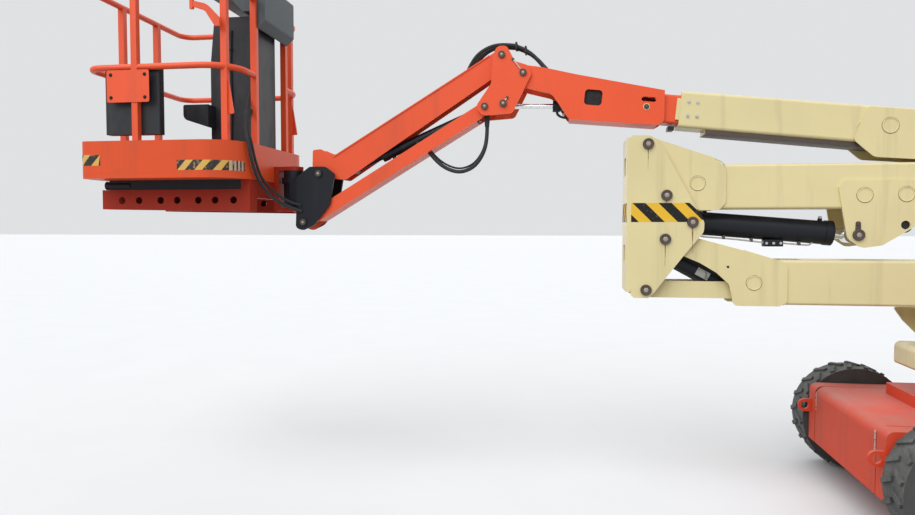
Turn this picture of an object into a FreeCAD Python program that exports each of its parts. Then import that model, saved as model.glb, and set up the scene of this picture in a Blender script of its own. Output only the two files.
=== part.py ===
import FreeCAD, Part
import math
import os
import re
import Sketcher

# Articulating boom lift: wheeled chassis, swinging turntable, two-arm tower with parallel links,
# telescopic main boom, parallelogram jib and a rotating platform. Millimetres, +Z up, the platform
# towards -X, the steered wheels towards +X, the ground at Z = 0 and the side planes at +-Y.

# Sizes: name, value, what it is. A value that starts with = is worked out from the others.
SIZES = [
    ("swing_x", 2245.658, "swing axis of the turntable"),
    ("drive_axle_x", "=swing_x - 1000", "drive axle"),
    ("wheelbase", 2010, "drive axle to steered axle"),
    ("steer_axle_x", "=drive_axle_x + wheelbase", "steered axle"),
    ("overall_width", 1750, "over the tyres"),
    ("tyre_dia", 711, "tyre outside diameter"),
    ("tyre_width", 240, "tyre width"),
    ("rim_dia", 400, "rim outside diameter"),
    ("disc_back", 14, "back of the rim disc inside the wheel's centre plane"),
    ("lug_height", 14, "height of the tread lugs"),
    ("lug_count", 20, "lugs a row"),
    ("axle_z", "=tyre_dia / 2", "wheel centre height"),
    ("wheel_y", "=overall_width / 2 - tyre_width / 2", "wheel centre plane"),
    ("seat_gap", 0.3, "gap between faces that move past each other"),
    ("pin_clear", 0.05, "radial clearance of the pins in their bores"),
    ("tyre_gap", 35, "between the tyres and the chassis side plates"),
    ("chassis_half_width", "=overall_width / 2 - tyre_width - tyre_gap", "chassis side plate"),
    ("chassis_waist", 370, "half width between the steered wheels"),
    ("chassis_bottom", 222, "under the chassis"),
    ("chassis_top", 603, "top of the side plates"),
    ("chassis_front", 312, "front of the chassis ahead of the drive axle"),
    ("chassis_rear", 300, "rear of the chassis behind the steered axle"),
    ("fascia_half", 476, "half width of the chassis between its side boxes"),
    ("groove", 8, "groove beside the side boxes"),
    ("plinth_top", 672, "top of the raised block on the chassis"),
    ("pedestal_top", 770, "top of the slew pedestal"),
    ("lug_out", 38, "tie-down hole beyond the chassis ends"),
    ("lug_z", 454, "tie-down hole height"),
    ("slew_height", 40, "slew ring height"),
    ("slew_dia", 700, "slew ring diameter"),
    ("deck_z", "=pedestal_top + slew_height", "underside of the turntable deck"),
    ("deck_thick", 40, "turntable deck plate"),
    ("deck_front", 700, "deck ahead of the swing axis"),
    ("deck_rear", 800, "deck behind the swing axis"),
    ("deck_half_width", 430, "half width of the deck"),
    ("hood_height", 560, "height of the side hoods"),
    ("hood_reach", 855, "swept radius of the hoods"),
    ("arm_width", 240, "width of the tower arm beams"),
    ("arm_depth", 264, "depth of the tower arm beams"),
    ("arm_wall", 8, "wall of the tower arm beams"),
    ("arm_bend", 16, "outer bend radius of the tower arm beams"),
    ("arm_drop", 254, "arm pins above the beam centre line"),
    ("gusset_thick", 12, "arm end gussets"),
    ("cheek_y", 146, "inner face of the uprights' cheeks"),
    ("cheek_thick", 15, "upright cheek plates"),
    ("arm_pin_dia", 50, "tower pins"),
    ("pin_head_dia", 62, "heads of the tower pins"),
    ("pin_head_thick", 12, "thickness of the pin heads"),
    ("link_half_gap", 72, "half the gap between the two bars of a timing link"),
    ("link_bar_thick", 20, "timing link bars"),
    ("link_depth", 100, "depth of the timing link bars"),
    ("lower_rear_pin_x", "=swing_x - 275", "lower arm's rear pin"),
    ("lower_rear_pin_z", 1588, "lower arm's rear pin height"),
    ("lower_arm_length", 2100, "lower arm between its pins"),
    ("lower_front_pin_x", "=lower_rear_pin_x - lower_arm_length", "lower arm's front pin"),
    ("lower_front_pin_z", "=lower_rear_pin_z", "lower arm's front pin height"),
    ("link_back", 109, "timing link pin, along X from the arm pin"),
    ("link_below", 304, "timing link pin below the arm pin"),
    ("upright_height", 563, "upper arm pin above the lower arm pin"),
    ("upright_lean", 104, "upper arm pin ahead of the lower arm pin"),
    ("upper_front_pin_x", "=lower_front_pin_x - upright_lean", "upper arm's front pin"),
    ("upper_front_pin_z", "=lower_front_pin_z + upright_height", "upper arm's front pin height"),
    ("upper_arm_length", 2600, "upper arm between its pins"),
    ("upper_rear_pin_x", "=upper_front_pin_x + upper_arm_length", "upper arm's rear pin"),
    ("upper_rear_pin_z", "=upper_front_pin_z", "upper arm's rear pin height"),
    ("lift_pin_back", 155, "upper lift cylinder's base pin behind the lower arm pin"),
    ("lift_pin_up", 100, "upper lift cylinder's base pin above the lower arm pin"),
    ("upper_rod_back", 1183, "upper lift rod pin behind the upper arm pin"),
    ("upper_rod_below", 537, "upper lift rod pin below the upper arm pin"),
    ("low_lift_back", 20, "lower lift cylinder's base pin behind the lower arm pin"),
    ("low_lift_below", 93, "lower lift cylinder's base pin below the lower arm pin"),
    ("low_rod_back", 604, "lower lift rod pin behind the link pin"),
    ("low_rod_below", 50, "lower lift rod pin below the link pin"),
    ("boom_pin_back", 179, "main boom pin behind the upper arm's rear pin"),
    ("boom_pin_below", 61, "main boom pin below the upper arm's rear pin"),
    ("boom_pin_x", "=upper_rear_pin_x + boom_pin_back", "main boom pin"),
    ("boom_pin_z", "=upper_rear_pin_z - boom_pin_below", "main boom pin height"),
    ("boom_angle", 6, "main boom above level, degrees"),
    ("boom_length", 2604, "main boom's mouth from its pin"),
    ("boom_depth", 215, "main boom section depth"),
    ("boom_width", 196, "main boom section width"),
    ("boom_wall", 7, "main boom wall"),
    ("main_lift_ahead", 50, "main lift cylinder's base pin ahead of the boom pin"),
    ("main_lift_below", 600, "main lift cylinder's base pin below the boom pin"),
    ("main_rod_out", 800, "main lift rod pin along the boom"),
    ("main_rod_below", 165, "main lift rod pin below the boom's centre line"),
    ("fly_depth", 171, "fly section depth"),
    ("fly_width", 150, "fly section width"),
    ("fly_wall", 6, "fly wall"),
    ("fly_inside", 2060, "fly inside the main boom when closed"),
    ("nose_width", 200, "width of the fly's nose"),
    ("elbow_out", 953, "elbow pin beyond the boom's mouth"),
    ("elbow_up", 140, "elbow pin above the boom's centre line"),
    ("elbow_half", 104, "inner face of the elbow's cheeks"),
    ("elbow_thick", 14, "elbow cheeks"),
    ("jib_length", 1378, "jib links between pins"),
    ("jib_angle", 31.1, "jib below level, degrees"),
    ("jib_width", 124, "width of the upper jib link"),
    ("jib_wall", 7, "wall of the jib links"),
    ("jib_outer", 168, "width of the lower jib link"),
    ("head_half", 88, "inner face of the jib head's cheeks"),
    ("head_thick", 14, "jib head cheeks"),
    ("jib_pin_dia", 36, "jib pins"),
    ("jib_pin_x_step", 105, "lower jib pin ahead of the upper one"),
    ("jib_pin_z_step", 312, "lower jib pin below the upper one"),
    ("rotator_ahead", 205, "platform swivel axis ahead of the upper jib head pin"),
    ("rotator_dia", 130, "platform rotator"),
    ("rotator_height", 240, "platform rotator height"),
    ("platform_gap", 118, "platform's side from the swivel axis"),
    ("platform_depth", 1000, "platform along X"),
    ("platform_width", 1220, "platform along Y"),
    ("platform_floor_z", 1950, "platform floor underside"),
    ("floor_thick", 30, "platform floor"),
    ("toe_height", 222, "toe board height"),
    ("toe_thick", 12, "toe board"),
    ("rail_dia", 38, "platform rail tube"),
    ("rail_inset", 40, "rails inside the platform's edge"),
    ("hoop_bend", 200, "bend radius of the rails at the boom end"),
    ("hoop_tip", 90, "bend radius of the rails at the outer end"),
    ("channel_y", -360, "perforated channel under the floor"),
    ("mid_rail_height", 660, "mid rail above the floor's underside"),
    ("top_rail_height", 1130, "top rail above the floor's underside"),
]

doc = FreeCAD.newDocument("boom_lift")
sheet = doc.addObject("Spreadsheet::Sheet", "Sizes")
for row, (alias, value, what) in enumerate(SIZES, 1):
    sheet.set("A%d" % row, alias)
    sheet.set("B%d" % row, str(value))
    sheet.set("C%d" % row, what)
    sheet.setAlias("B%d" % row, alias)
doc.recompute()
NAMES = set(row[0] for row in SIZES)
NODES = []


def ex(text):
    """Write a sum of sizes as an expression on the sheet."""
    return re.sub(r"[a-z][a-z0-9_]*", lambda m: "Sizes." + m.group() if m.group() in NAMES else m.group(),
                  str(text))


def val(text):
    """Value of a sum of sizes."""
    out = sheet.evalExpression(ex(text))
    return float(getattr(out, "Value", out))


def bind(obj, **sizes):
    for prop, text in sizes.items():
        obj.setExpression(prop, ex(text))
    return obj


def put(obj, x=0, y=0, z=0, axis=None, angle=None):
    """Place an object by sums of sizes."""
    if axis is not None:
        obj.Placement = FreeCAD.Placement(FreeCAD.Vector(), FreeCAD.Rotation(FreeCAD.Vector(*axis), 10))
        obj.setExpression("Placement.Rotation.Angle", ex(angle))
    for way, text in (("x", x), ("y", y), ("z", z)):
        obj.setExpression("Placement.Base." + way, ex(text))
    return obj


COUNT = [0]


def fresh(word):
    COUNT[0] += 1
    return "%s_%03d" % (word, COUNT[0])


def box(x, y, z):
    """Box between pairs of sums of sizes."""
    out = doc.addObject("Part::Box", fresh("box"))
    bind(out, Length="(%s) - (%s)" % (x[1], x[0]), Width="(%s) - (%s)" % (y[1], y[0]),
         Height="(%s) - (%s)" % (z[1], z[0]))
    return put(out, x[0], y[0], z[0])


def round_y(x, z, dia, y0, y1):
    """Cylinder along Y."""
    out = doc.addObject("Part::Cylinder", fresh("round"))
    bind(out, Radius="(%s) / 2" % dia, Height="(%s) - (%s)" % (y1, y0))
    return put(out, x, y0, z, (1, 0, 0), "-90")


def round_z(x, y, dia, z0, z1):
    """Cylinder along Z."""
    out = doc.addObject("Part::Cylinder", fresh("round"))
    bind(out, Radius="(%s) / 2" % dia, Height="(%s) - (%s)" % (z1, z0))
    return put(out, x, y, z0)


def round_x(y, z, dia, x0, x1):
    """Cylinder along X."""
    out = doc.addObject("Part::Cylinder", fresh("round"))
    bind(out, Radius="(%s) / 2" % dia, Height="(%s) - (%s)" % (x1, x0))
    return put(out, x0, y, z, (0, 1, 0), "90")


def slab(plane, corners, start, stop):
    """Slab with an outline of corners (u, v) or (u, v, radius), square to the plane."""
    body = doc.addObject("PartDesign::Body", fresh("slab"))
    sketch = body.newObject("Sketcher::SketchObject", fresh("outline"))
    side = [f for f in body.Origin.OriginFeatures if f.Role == plane][0]
    sketch.AttachmentSupport = (side, [""])
    sketch.MapMode = "FlatFace"
    flip = plane == "XZ_Plane"
    sketch.setExpression("AttachmentOffset.Base.z", ex("-(%s)" % start if flip else start))
    spots = [FreeCAD.Vector(val(c[0]), val(c[1]), 0) for c in corners]
    for a, b in zip(spots, spots[1:] + spots[:1]):
        sketch.addGeometry(Part.LineSegment(a, b))
    count = len(spots)
    for i in range(count):
        sketch.addConstraint(Sketcher.Constraint("Coincident", i, 2, (i + 1) % count, 1))
    for i, corner in enumerate(corners):
        sketch.addConstraint(Sketcher.Constraint("DistanceX", -1, 1, i, 1, spots[i].x))
        sketch.setExpression("Constraints[%d]" % (sketch.ConstraintCount - 1), ex(corner[0]))
        sketch.addConstraint(Sketcher.Constraint("DistanceY", -1, 1, i, 1, spots[i].y))
        sketch.setExpression("Constraints[%d]" % (sketch.ConstraintCount - 1), ex(corner[1]))
    last = body.newObject("PartDesign::Pad", fresh("pad"))
    last.Profile = sketch
    last.Reversed = flip
    bind(last, Length="(%s) - (%s)" % (stop, start))
    u, v = {"XZ_Plane": ("x", "z"), "XY_Plane": ("x", "y"), "YZ_Plane": ("y", "z")}[plane]
    for radius in sorted(set(c[2] for c in corners if len(c) > 2)):
        last.recompute(True)
        edges = []
        for i, edge in enumerate(last.Shape.Edges, 1):
            ends = [vertex.Point for vertex in edge.Vertexes]
            for corner, spot in zip(corners, spots):
                if len(corner) > 2 and corner[2] == radius and len(ends) == 2:
                    if all(abs(getattr(p, u) - spot.x) + abs(getattr(p, v) - spot.y) < 0.01 for p in ends):
                        edges.append("Edge%d" % i)
        fillet = body.newObject("PartDesign::Fillet", fresh("fillet"))
        fillet.Base = (last, edges)
        bind(fillet, Radius=radius)
        last = fillet
    return body


def plate(corners, y0, y1):
    """Upright plate with an outline of (x, z) corners, from y0 to y1."""
    return slab("XZ_Plane", corners, y0, y1)


def plan(corners, z0, z1):
    """Level slab with an outline of (x, y) corners, from z0 to z1."""
    return slab("XY_Plane", corners, z0, z1)


def front(corners, x0, x1):
    """Slab with an outline of (y, z) corners, from x0 to x1."""
    return slab("YZ_Plane", corners, x0, x1)


def beam(x, half_width, z, wall, radius):
    """Hollow beam along X with rounded long edges."""
    def ring(inset, r):
        y, low, top = "%s - (%s)" % (half_width, inset), "%s + %s" % (z[0], inset), "%s - (%s)" % (z[1], inset)
        return [("-(%s)" % y, low, r), (y, low, r), (y, top, r), ("-(%s)" % y, top, r)]
    return cut(front(ring("0", radius), x[0], x[1]),
               front(ring(wall, radius + " - " + wall), x[0] + " - 1", x[1] + " + 1"))


def both_sides(corners, y0, y1):
    """The same plate on either side."""
    return [plate(corners, y0, y1), plate(corners, "-(%s)" % y1, "-(%s)" % y0)]


def fuse(*pieces):
    flat = []
    for piece in pieces:
        flat.extend(piece if isinstance(piece, (list, tuple)) else [piece])
    if len(flat) == 1:
        return flat[0]
    out = doc.addObject("Part::MultiFuse", fresh("fuse"))
    out.Shapes = flat
    out.Refine = True
    return out


def cut(base, *tools):
    tool = fuse(*tools) if len(tools) > 1 or isinstance(tools[0], (list, tuple)) else tools[0]
    out = doc.addObject("Part::Cut", fresh("cut"))
    out.Base = base
    out.Tool = tool
    out.Refine = True
    return out


def node(name, piece, **where):
    """Name a finished piece."""
    if where:
        if piece.TypeId.startswith("Part::Box"):
            base, piece = piece, doc.addObject("Part::Refine", fresh("solid"))
            piece.Source = base
        put(piece, **where)
    piece.Label = name
    NODES.append((name, piece))
    return piece


# Wheels

def tyre():
    """Tyre about the origin, its axle along Y, with two rows of chevron lugs."""
    body = round_y(0, 0, "tyre_dia - 2 * lug_height", "-tyre_width / 2", "tyre_width / 2")
    hollow = round_y(0, 0, "rim_dia + 2 * seat_gap", "-tyre_width / 2 - 1", "tyre_width / 2 + 1")
    lugs = []
    for side in (-1, 1):
        for i in range(int(val("lug_count"))):
            lug = doc.addObject("Part::Box", fresh("lug"))
            bind(lug, Length=26, Width="tyre_width / 2 - 4", Height="lug_height + 8")
            angle = 360.0 / val("lug_count") * (i + (0.5 if side > 0 else 0))
            turn = FreeCAD.Rotation(FreeCAD.Vector(0, 1, 0), angle)
            skew = FreeCAD.Rotation(FreeCAD.Vector(0, 0, 1), 24 * side)
            lug.Placement = FreeCAD.Placement(
                turn.multVec(FreeCAD.Vector(0, 0, val("tyre_dia / 2 - lug_height - 8.4"))), turn.multiply(skew))
            shift = lug.Placement.Rotation.multVec(FreeCAD.Vector(-13, 0 if side > 0 else -val("tyre_width / 2 - 4"), 0))
            lug.Placement.Base = lug.Placement.Base + shift
            lugs.append(lug)
    whole = fuse(body, lugs)
    keep = round_y(0, 0, "tyre_dia", "-tyre_width / 2", "tyre_width / 2")
    trimmed = doc.addObject("Part::Common", fresh("trim"))
    trimmed.Base = whole
    trimmed.Tool = keep
    return cut(trimmed, hollow)


def rim(hub_side):
    """Dished rim about the origin; hub_side is +1 where the outer face looks to +Y."""
    def lay(dia, y0, y1):
        """Cylinder along Y, measured outwards from the wheel's centre plane."""
        if hub_side > 0:
            return round_y(0, 0, dia, y0, y1)
        return round_y(0, 0, dia, "-(%s)" % y1, "-(%s)" % y0)
    barrel = lay("rim_dia", "-tyre_width / 2 + 12", "tyre_width / 2 - 12")
    lips = [lay("rim_dia + 26", "tyre_width / 2 + seat_gap", "tyre_width / 2 + 6"),
            lay("rim_dia - 2", "tyre_width / 2 - 13", "tyre_width / 2 + 6")]
    dish = lay("rim_dia - 46", "26", "tyre_width / 2 + 7")
    bowl = lay("rim_dia - 120", "10", "27")
    back = lay("rim_dia - 46", "-tyre_width / 2 + 11", "-disc_back")
    hub = lay(150, "0", "tyre_width / 2 - 30")
    cap = lay(96, "0", "tyre_width / 2 - 4")
    return fuse(cut(fuse(barrel, lips), dish, bowl, back), hub, cap)


for end, axle_x in (("drive", "drive_axle_x"), ("steer", "steer_axle_x")):
    for side, word in ((-1, "near"), (1, "far")):
        sign = "-" if side < 0 else ""
        node("%s_tyre_%s" % (end, word), tyre(), x=axle_x, y=sign + "wheel_y", z="axle_z")
        node("%s_rim_%s" % (end, word), rim(side), x=axle_x, y=sign + "wheel_y", z="axle_z")

# Axles

inner_y = "wheel_y - disc_back"
node("drive_axle", fuse(
    round_y("drive_axle_x", "axle_z", 150, "-chassis_half_width + 20", "chassis_half_width - 20"),
    [round_y("drive_axle_x", "axle_z", 210, "chassis_half_width - 20", inner_y + " - seat_gap"),
     round_y("drive_axle_x", "axle_z", 210, "-(%s - seat_gap)" % inner_y, "-chassis_half_width + 20")]))
kingpin_y = "wheel_y - tyre_width / 2 - 35"
node("steer_axle", cut(fuse(
    box(("steer_axle_x - 60", "steer_axle_x + 60"), ("-(%s) - 40" % kingpin_y, kingpin_y + " + 40"),
        ("axle_z - 55", "axle_z + 55"))),
    [box(("steer_axle_x - 61", "steer_axle_x + 61"), (kingpin_y + " - 45", kingpin_y + " + 60"),
         ("axle_z - 35", "axle_z + 35")),
     box(("steer_axle_x - 61", "steer_axle_x + 61"), ("-(%s) - 60" % kingpin_y, "-(%s) + 45" % kingpin_y),
         ("axle_z - 35", "axle_z + 35"))],
    [round_z("steer_axle_x", kingpin_y, "40 + 2 * pin_clear", "axle_z - 56", "axle_z + 56"),
     round_z("steer_axle_x", "-(%s)" % kingpin_y, "40 + 2 * pin_clear", "axle_z - 56", "axle_z + 56")]))
for side, word in ((-1, "near"), (1, "far")):
    s = "-" if side < 0 else ""
    pin = round_z("steer_axle_x", "%s(%s)" % (s, kingpin_y), 40, "axle_z - 64", "axle_z + 64")
    hub = round_z("steer_axle_x", "%s(%s)" % (s, kingpin_y), 76, "axle_z - 34", "axle_z + 34")
    if side > 0:
        stub = round_y("steer_axle_x", "axle_z", 60, kingpin_y, inner_y + " - seat_gap")
    else:
        stub = round_y("steer_axle_x", "axle_z", 60, "-(%s - seat_gap)" % inner_y, "-(%s)" % kingpin_y)
    node("steer_knuckle_" + word, fuse(pin, hub, stub))

# Chassis

def side_view(inset, bend):
    """Long outline of the chassis ahead of the steered wheels."""
    x0, x1, z0, z1 = ("drive_axle_x - chassis_front + %s" % inset, "steer_axle_x - 470",
                      "chassis_bottom + %s" % inset, "chassis_top - %s" % inset)
    return [(x0, z0, "12"), (x1, z0), (x1, z1), (x0, z1, bend)]


tail = [("steer_axle_x - 480", "chassis_bottom"), ("steer_axle_x + chassis_rear", "chassis_bottom", "12"),
        ("steer_axle_x + chassis_rear", "chassis_top", "60"), ("steer_axle_x - 480", "chassis_top")]
hull = fuse(
    plate(side_view("0", "60"), "-fascia_half", "fascia_half"),
    plate(side_view("12", "50"), "-fascia_half - groove - 1", "fascia_half + groove + 1"),
    both_sides(side_view("0", "45"), "fascia_half + groove", "chassis_half_width"),
    plate(tail, "-chassis_waist", "chassis_waist"),
    plan([("drive_axle_x + 60", "-340", "16"), ("swing_x + 480", "-340", "60"), ("swing_x + 480", "340", "60"),
          ("drive_axle_x + 60", "340", "16")], "chassis_top - 1", "plinth_top"),
    round_z("swing_x", 0, 780, "plinth_top - 1", "pedestal_top"))
hollows = [
    round_y("drive_axle_x", "axle_z", "150 + 2 * seat_gap", "-chassis_half_width - 1", "chassis_half_width + 1"),
    round_y("drive_axle_x", "axle_z", "210 + 2 * seat_gap", "chassis_half_width - 20 - seat_gap",
            "chassis_half_width + 1"),
    round_y("drive_axle_x", "axle_z", "210 + 2 * seat_gap", "-chassis_half_width - 1",
            "-chassis_half_width + 20 + seat_gap"),
    box(("steer_axle_x - 60 - seat_gap", "steer_axle_x + 60 + seat_gap"), ("-chassis_waist - 1", "chassis_waist + 1"),
        ("axle_z - 55 - seat_gap", "axle_z + 55 + seat_gap")),
]
lugs = []
for s in ("-", ""):
    for x, way in (("drive_axle_x - chassis_front", -1), ("steer_axle_x + chassis_rear", 1)):
        y = "576" if way < 0 else "chassis_waist - 24"
        cy0, cy1 = ("-(%s) - 12" % y, "-(%s) + 12" % y) if s else (y + " - 12", y + " + 12")
        hx = "%s %s lug_out" % (x, "-" if way < 0 else "+")
        root = (hx, x + " + 5") if way < 0 else (x + " - 5", hx)
        ear = fuse(round_y(hx, "lug_z", 84, cy0, cy1), box(root, (cy0, cy1), ("lug_z - 42", "lug_z + 42")))
        lugs.append(cut(ear, round_y(hx, "lug_z", 50, cy0 + " - 1", cy1 + " + 1")))
node("chassis", fuse(cut(hull, hollows), lugs))
node("slew_ring", round_z("swing_x", 0, "slew_dia", "pedestal_top + seat_gap", "deck_z - seat_gap"))

# Turntable

risers = [
    ("swing_x - 690", "deck_z + deck_thick - 1"), ("lower_rear_pin_x + 420", "deck_z + deck_thick - 1"),
    ("lower_rear_pin_x + 74", "lower_rear_pin_z + 20", "50"), ("lower_rear_pin_x + 40", "lower_rear_pin_z + 64", "40"),
    ("lower_rear_pin_x - 50", "lower_rear_pin_z + 64", "50"),
    ("lower_rear_pin_x - link_back - 70", "lower_rear_pin_z - link_below + 60", "40"),
    ("lower_rear_pin_x - link_back - 80", "lower_rear_pin_z - link_below - 110", "40"),
    ("swing_x - 985", "lower_rear_pin_z - link_below - 110", "10"),
    ("swing_x - 930", "lower_rear_pin_z - link_below - 190", "40")]
cheek = ("cheek_y", "cheek_y + cheek_thick")


def cross_pin(x, z, dia="arm_pin_dia", reach="cheek_y + cheek_thick", head="pin_head_dia"):
    """Pin across the piece with a head on either side."""
    return [round_y(x, z, dia, "-(%s) - pin_head_thick" % reach, "%s + pin_head_thick" % reach),
            round_y(x, z, head, reach, "%s + pin_head_thick" % reach),
            round_y(x, z, head, "-(%s) - pin_head_thick" % reach, "-(%s)" % reach)]


def stub_pins(x, z, inner, dia="arm_pin_dia", reach="cheek_y + cheek_thick", head="pin_head_dia"):
    """Two short pins, one for each cheek, with the middle left open."""
    return [round_y(x, z, dia, inner, reach),
            round_y(x, z, dia, "-(%s)" % reach, "-(%s)" % inner),
            round_y(x, z, head, reach, "%s + pin_head_thick" % reach),
            round_y(x, z, head, "-(%s) - pin_head_thick" % reach, "-(%s)" % reach)]


deck = plan([("swing_x - deck_front", "-deck_half_width", "60"), ("swing_x + deck_rear", "-deck_half_width", "120"),
             ("swing_x + deck_rear", "deck_half_width", "120"), ("swing_x - deck_front", "deck_half_width", "60")],
            "deck_z", "deck_z + deck_thick")
prow = plate([("swing_x - 965", "deck_z + 18", "20"), ("swing_x - 660", "deck_z + 18"), ("swing_x - 660", "deck_z + 155"),
              ("swing_x - 965", "deck_z + 155", "36")], -168, 168)
node("turntable", fuse(deck, prow, both_sides(risers, *cheek),
                       cross_pin("lower_rear_pin_x", "lower_rear_pin_z"),
                       cross_pin("lower_rear_pin_x - link_back", "lower_rear_pin_z - link_below")))
hood_z = "deck_z + deck_thick + seat_gap"
hood_top = "deck_z + deck_thick + hood_height"


def hood_shape(s, inset, bend):
    """Cross outline of a side hood, rounded over its outer edge."""
    y0, y1 = "deck_half_width - 60 + %s" % inset, "745 - %s" % inset
    low = hood_z if inset == "0" else hood_z + " - 1"
    return [("%s(%s)" % (s, y0), low), ("%s(%s)" % (s, y0), "%s - %s" % (hood_top, inset)),
            ("%s(%s)" % (s, y1), "%s - %s" % (hood_top, inset), bend), ("%s(%s)" % (s, y1), low)]


for side, word in ((-1, "near"), (1, "far")):
    s = "-" if side < 0 else ""
    shell = cut(front(hood_shape(s, "0", "110"), "swing_x - 400", "swing_x + 400"),
                front(hood_shape(s, "12", "98"), "swing_x - 388", "swing_x + 388"))
    y0, y1 = (-762, -744) if side < 0 else (744, 762)
    grip = box(("swing_x - 90", "swing_x + 90"), (y0, y1), (hood_z + " + 40", hood_z + " + 70"))
    hinge = round_x("%s(deck_half_width - 59)" % s, hood_top + " - 1", 18, "swing_x - 400", "swing_x + 400")
    node("hood_" + word, fuse(shell, grip, hinge))
    y0, y1 = ("-745", "-deck_half_width") if side < 0 else ("deck_half_width", "745")
    node("hood_floor_" + word, box(("swing_x - 400", "swing_x + 400"), (y0, y1), ("deck_z", "deck_z + deck_thick")))
node("counterweight", plan([("swing_x + 420", "-360", "20"), ("swing_x + deck_rear", "-360", "130"),
                            ("swing_x + deck_rear", "360", "130"), ("swing_x + 420", "360", "20")],
                           hood_z, "deck_z + deck_thick + 420"))

# Tower arms: hollow beams with gussets that hold the pins above the beam

hole = "arm_pin_dia + 2 * pin_clear"


def arm(front_x, rear_x, pin_z, open_rear, fore):
    """Beam between two end gussets, fore from the front pin; the timing link runs inside it."""
    beam_z = "(%s) - arm_drop" % pin_z
    top, low = beam_z + " + arm_depth / 2", beam_z + " - arm_depth / 2"
    start, stop = "(%s) + 430" % front_x, "(%s) - %s" % (rear_x, open_rear)
    shell = beam((start, stop), "arm_width / 2", (low, top), "arm_wall", "arm_bend")
    y = ("arm_width / 2 - 1", "arm_width / 2 + gusset_thick")
    fore = [("(%s) %s" % (front_x, x), "(%s) %s" % (pin_z, z), bend) for x, z, bend in fore]
    aft = [(rear_x + " + 52", pin_z + " + 30", "38"), (rear_x + " - 20", pin_z + " + 56", "38"),
           ("(%s) - 374" % rear_x, pin_z + " - 96", "90"), (stop + " - 60", top, "16"),
           (stop + " - 60", low, "16"), (stop + " + 20", low, "40"), (stop + " + 190", pin_z + " - 262", "60"),
           (rear_x + " - 120", pin_z + " - 130", "60"), (rear_x + " + 40", pin_z + " - 55", "38")]
    plates = both_sides(fore, *y) + both_sides(aft, *y)
    holes = [round_y(front_x, pin_z, hole, "-arm_width", "arm_width"),
             round_y(rear_x, pin_z, hole, "-arm_width", "arm_width")]
    return shell, plates, holes


foot = [("- 48", "+ 16", "38"), ("- 10", "+ 54", "38"), ("+ 180", "+ 8", "60"), ("+ 454", "- 67", "60"),
        ("+ 698", "- 138", "40"), ("+ 698", "- 372", "20"), ("+ 655", "- 394", "12"), ("+ 400", "- 394", "30"),
        ("+ 373", "- 268", "40"), ("+ 300", "- 199", "60"), ("+ 205", "- 142", "60"), ("- 48", "- 34", "38")]
shell, plates, holes = arm("lower_front_pin_x", "lower_rear_pin_x", "lower_rear_pin_z", "430", foot)
belly_z = "lower_rear_pin_z - arm_drop - arm_depth / 2"
slot = box(("lower_front_pin_x + 429", "lower_front_pin_x + 930"), ("-arm_width / 2 + 12", "arm_width / 2 - 12"),
           (belly_z + " - 1", belly_z + " + arm_wall + 1"))
notch = box(("lower_front_pin_x + 429", "lower_front_pin_x + 800"), (-67, 67),
            (belly_z + " + arm_depth - arm_wall - 1", belly_z + " + arm_depth + 1"))
node("lower_arm", cut(fuse(shell, plates), holes, slot, notch))

foot = [("- 48", "+ 16", "38"), ("- 10", "+ 54", "38"), ("+ 374", "- 82", "60"), ("+ 448", "- 142", "45"),
        ("+ 450", "- 350", "45"), ("+ 412", "- 392", "16"), ("+ 290", "- 392", "38"), ("+ 120", "- 130", "60"),
        ("- 48", "- 34", "38")]
shell, plates, holes = arm("upper_front_pin_x", "upper_rear_pin_x", "upper_front_pin_z", "960", foot)
rod_x, rod_z = "upper_front_pin_x + upper_rod_back", "upper_front_pin_z - upper_rod_below"
lobe = [(rod_x + " - 112", "upper_front_pin_z - 262", "12"), (rod_x + " - 84", "upper_front_pin_z - 222", "25"),
        (rod_x + " + 420", "upper_front_pin_z - 222", "25"), (rod_x + " + 420", "upper_front_pin_z - 380", "60"),
        (rod_x + " + 286", "upper_front_pin_z - 497", "60"), (rod_x + " + 130", rod_z + " - 60", "60"),
        (rod_x + " + 20", rod_z + " - 76", "60"), (rod_x + " - 60", rod_z + " - 20", "60")]
ears = both_sides(lobe, "arm_width / 2 - 0.5", "arm_width / 2 + gusset_thick")
sight = round_y(rod_x + " + 250", "upper_front_pin_z - 480", 50, -200, 200)
rod_pin = stub_pins(rod_x, rod_z, "arm_width / 2", reach="arm_width / 2 + gusset_thick")
node("upper_arm", fuse(cut(fuse(shell, plates, ears), holes, sight), rod_pin))

# Timing links: two bars joined by a tube at each end, kept parallel to their arm


def link(front_x, rear_x, z, extra=(), fork=False):
    """Pair of bars with bored ends, joined by a tube at each end or, as a fork, only at the front."""
    y = ("link_half_gap", "link_half_gap + link_bar_thick")
    outline = [(front_x + " - 42", z + " - link_depth / 2 + 20"), (front_x + " - 42", z + " + link_depth / 2 - 20"),
               (front_x + " - 20", z + " + link_depth / 2"), (rear_x + " + 20", z + " + link_depth / 2"),
               (rear_x + " + 42", z + " + link_depth / 2 - 20"), (rear_x + " + 42", z + " - link_depth / 2 + 20"),
               (rear_x + " + 20", z + " - link_depth / 2"), (front_x + " - 20", z + " - link_depth / 2")]
    bars = both_sides(outline, *y)
    tubes = [round_y(x, z, 80, "-link_half_gap - 1", "link_half_gap + 1") for x in ((front_x,) if fork else (front_x, rear_x))]
    holes = [round_y(x, z, hole, -200, 200) for x in (front_x, rear_x)]
    return cut(fuse(bars, tubes, *extra), holes)


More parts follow.
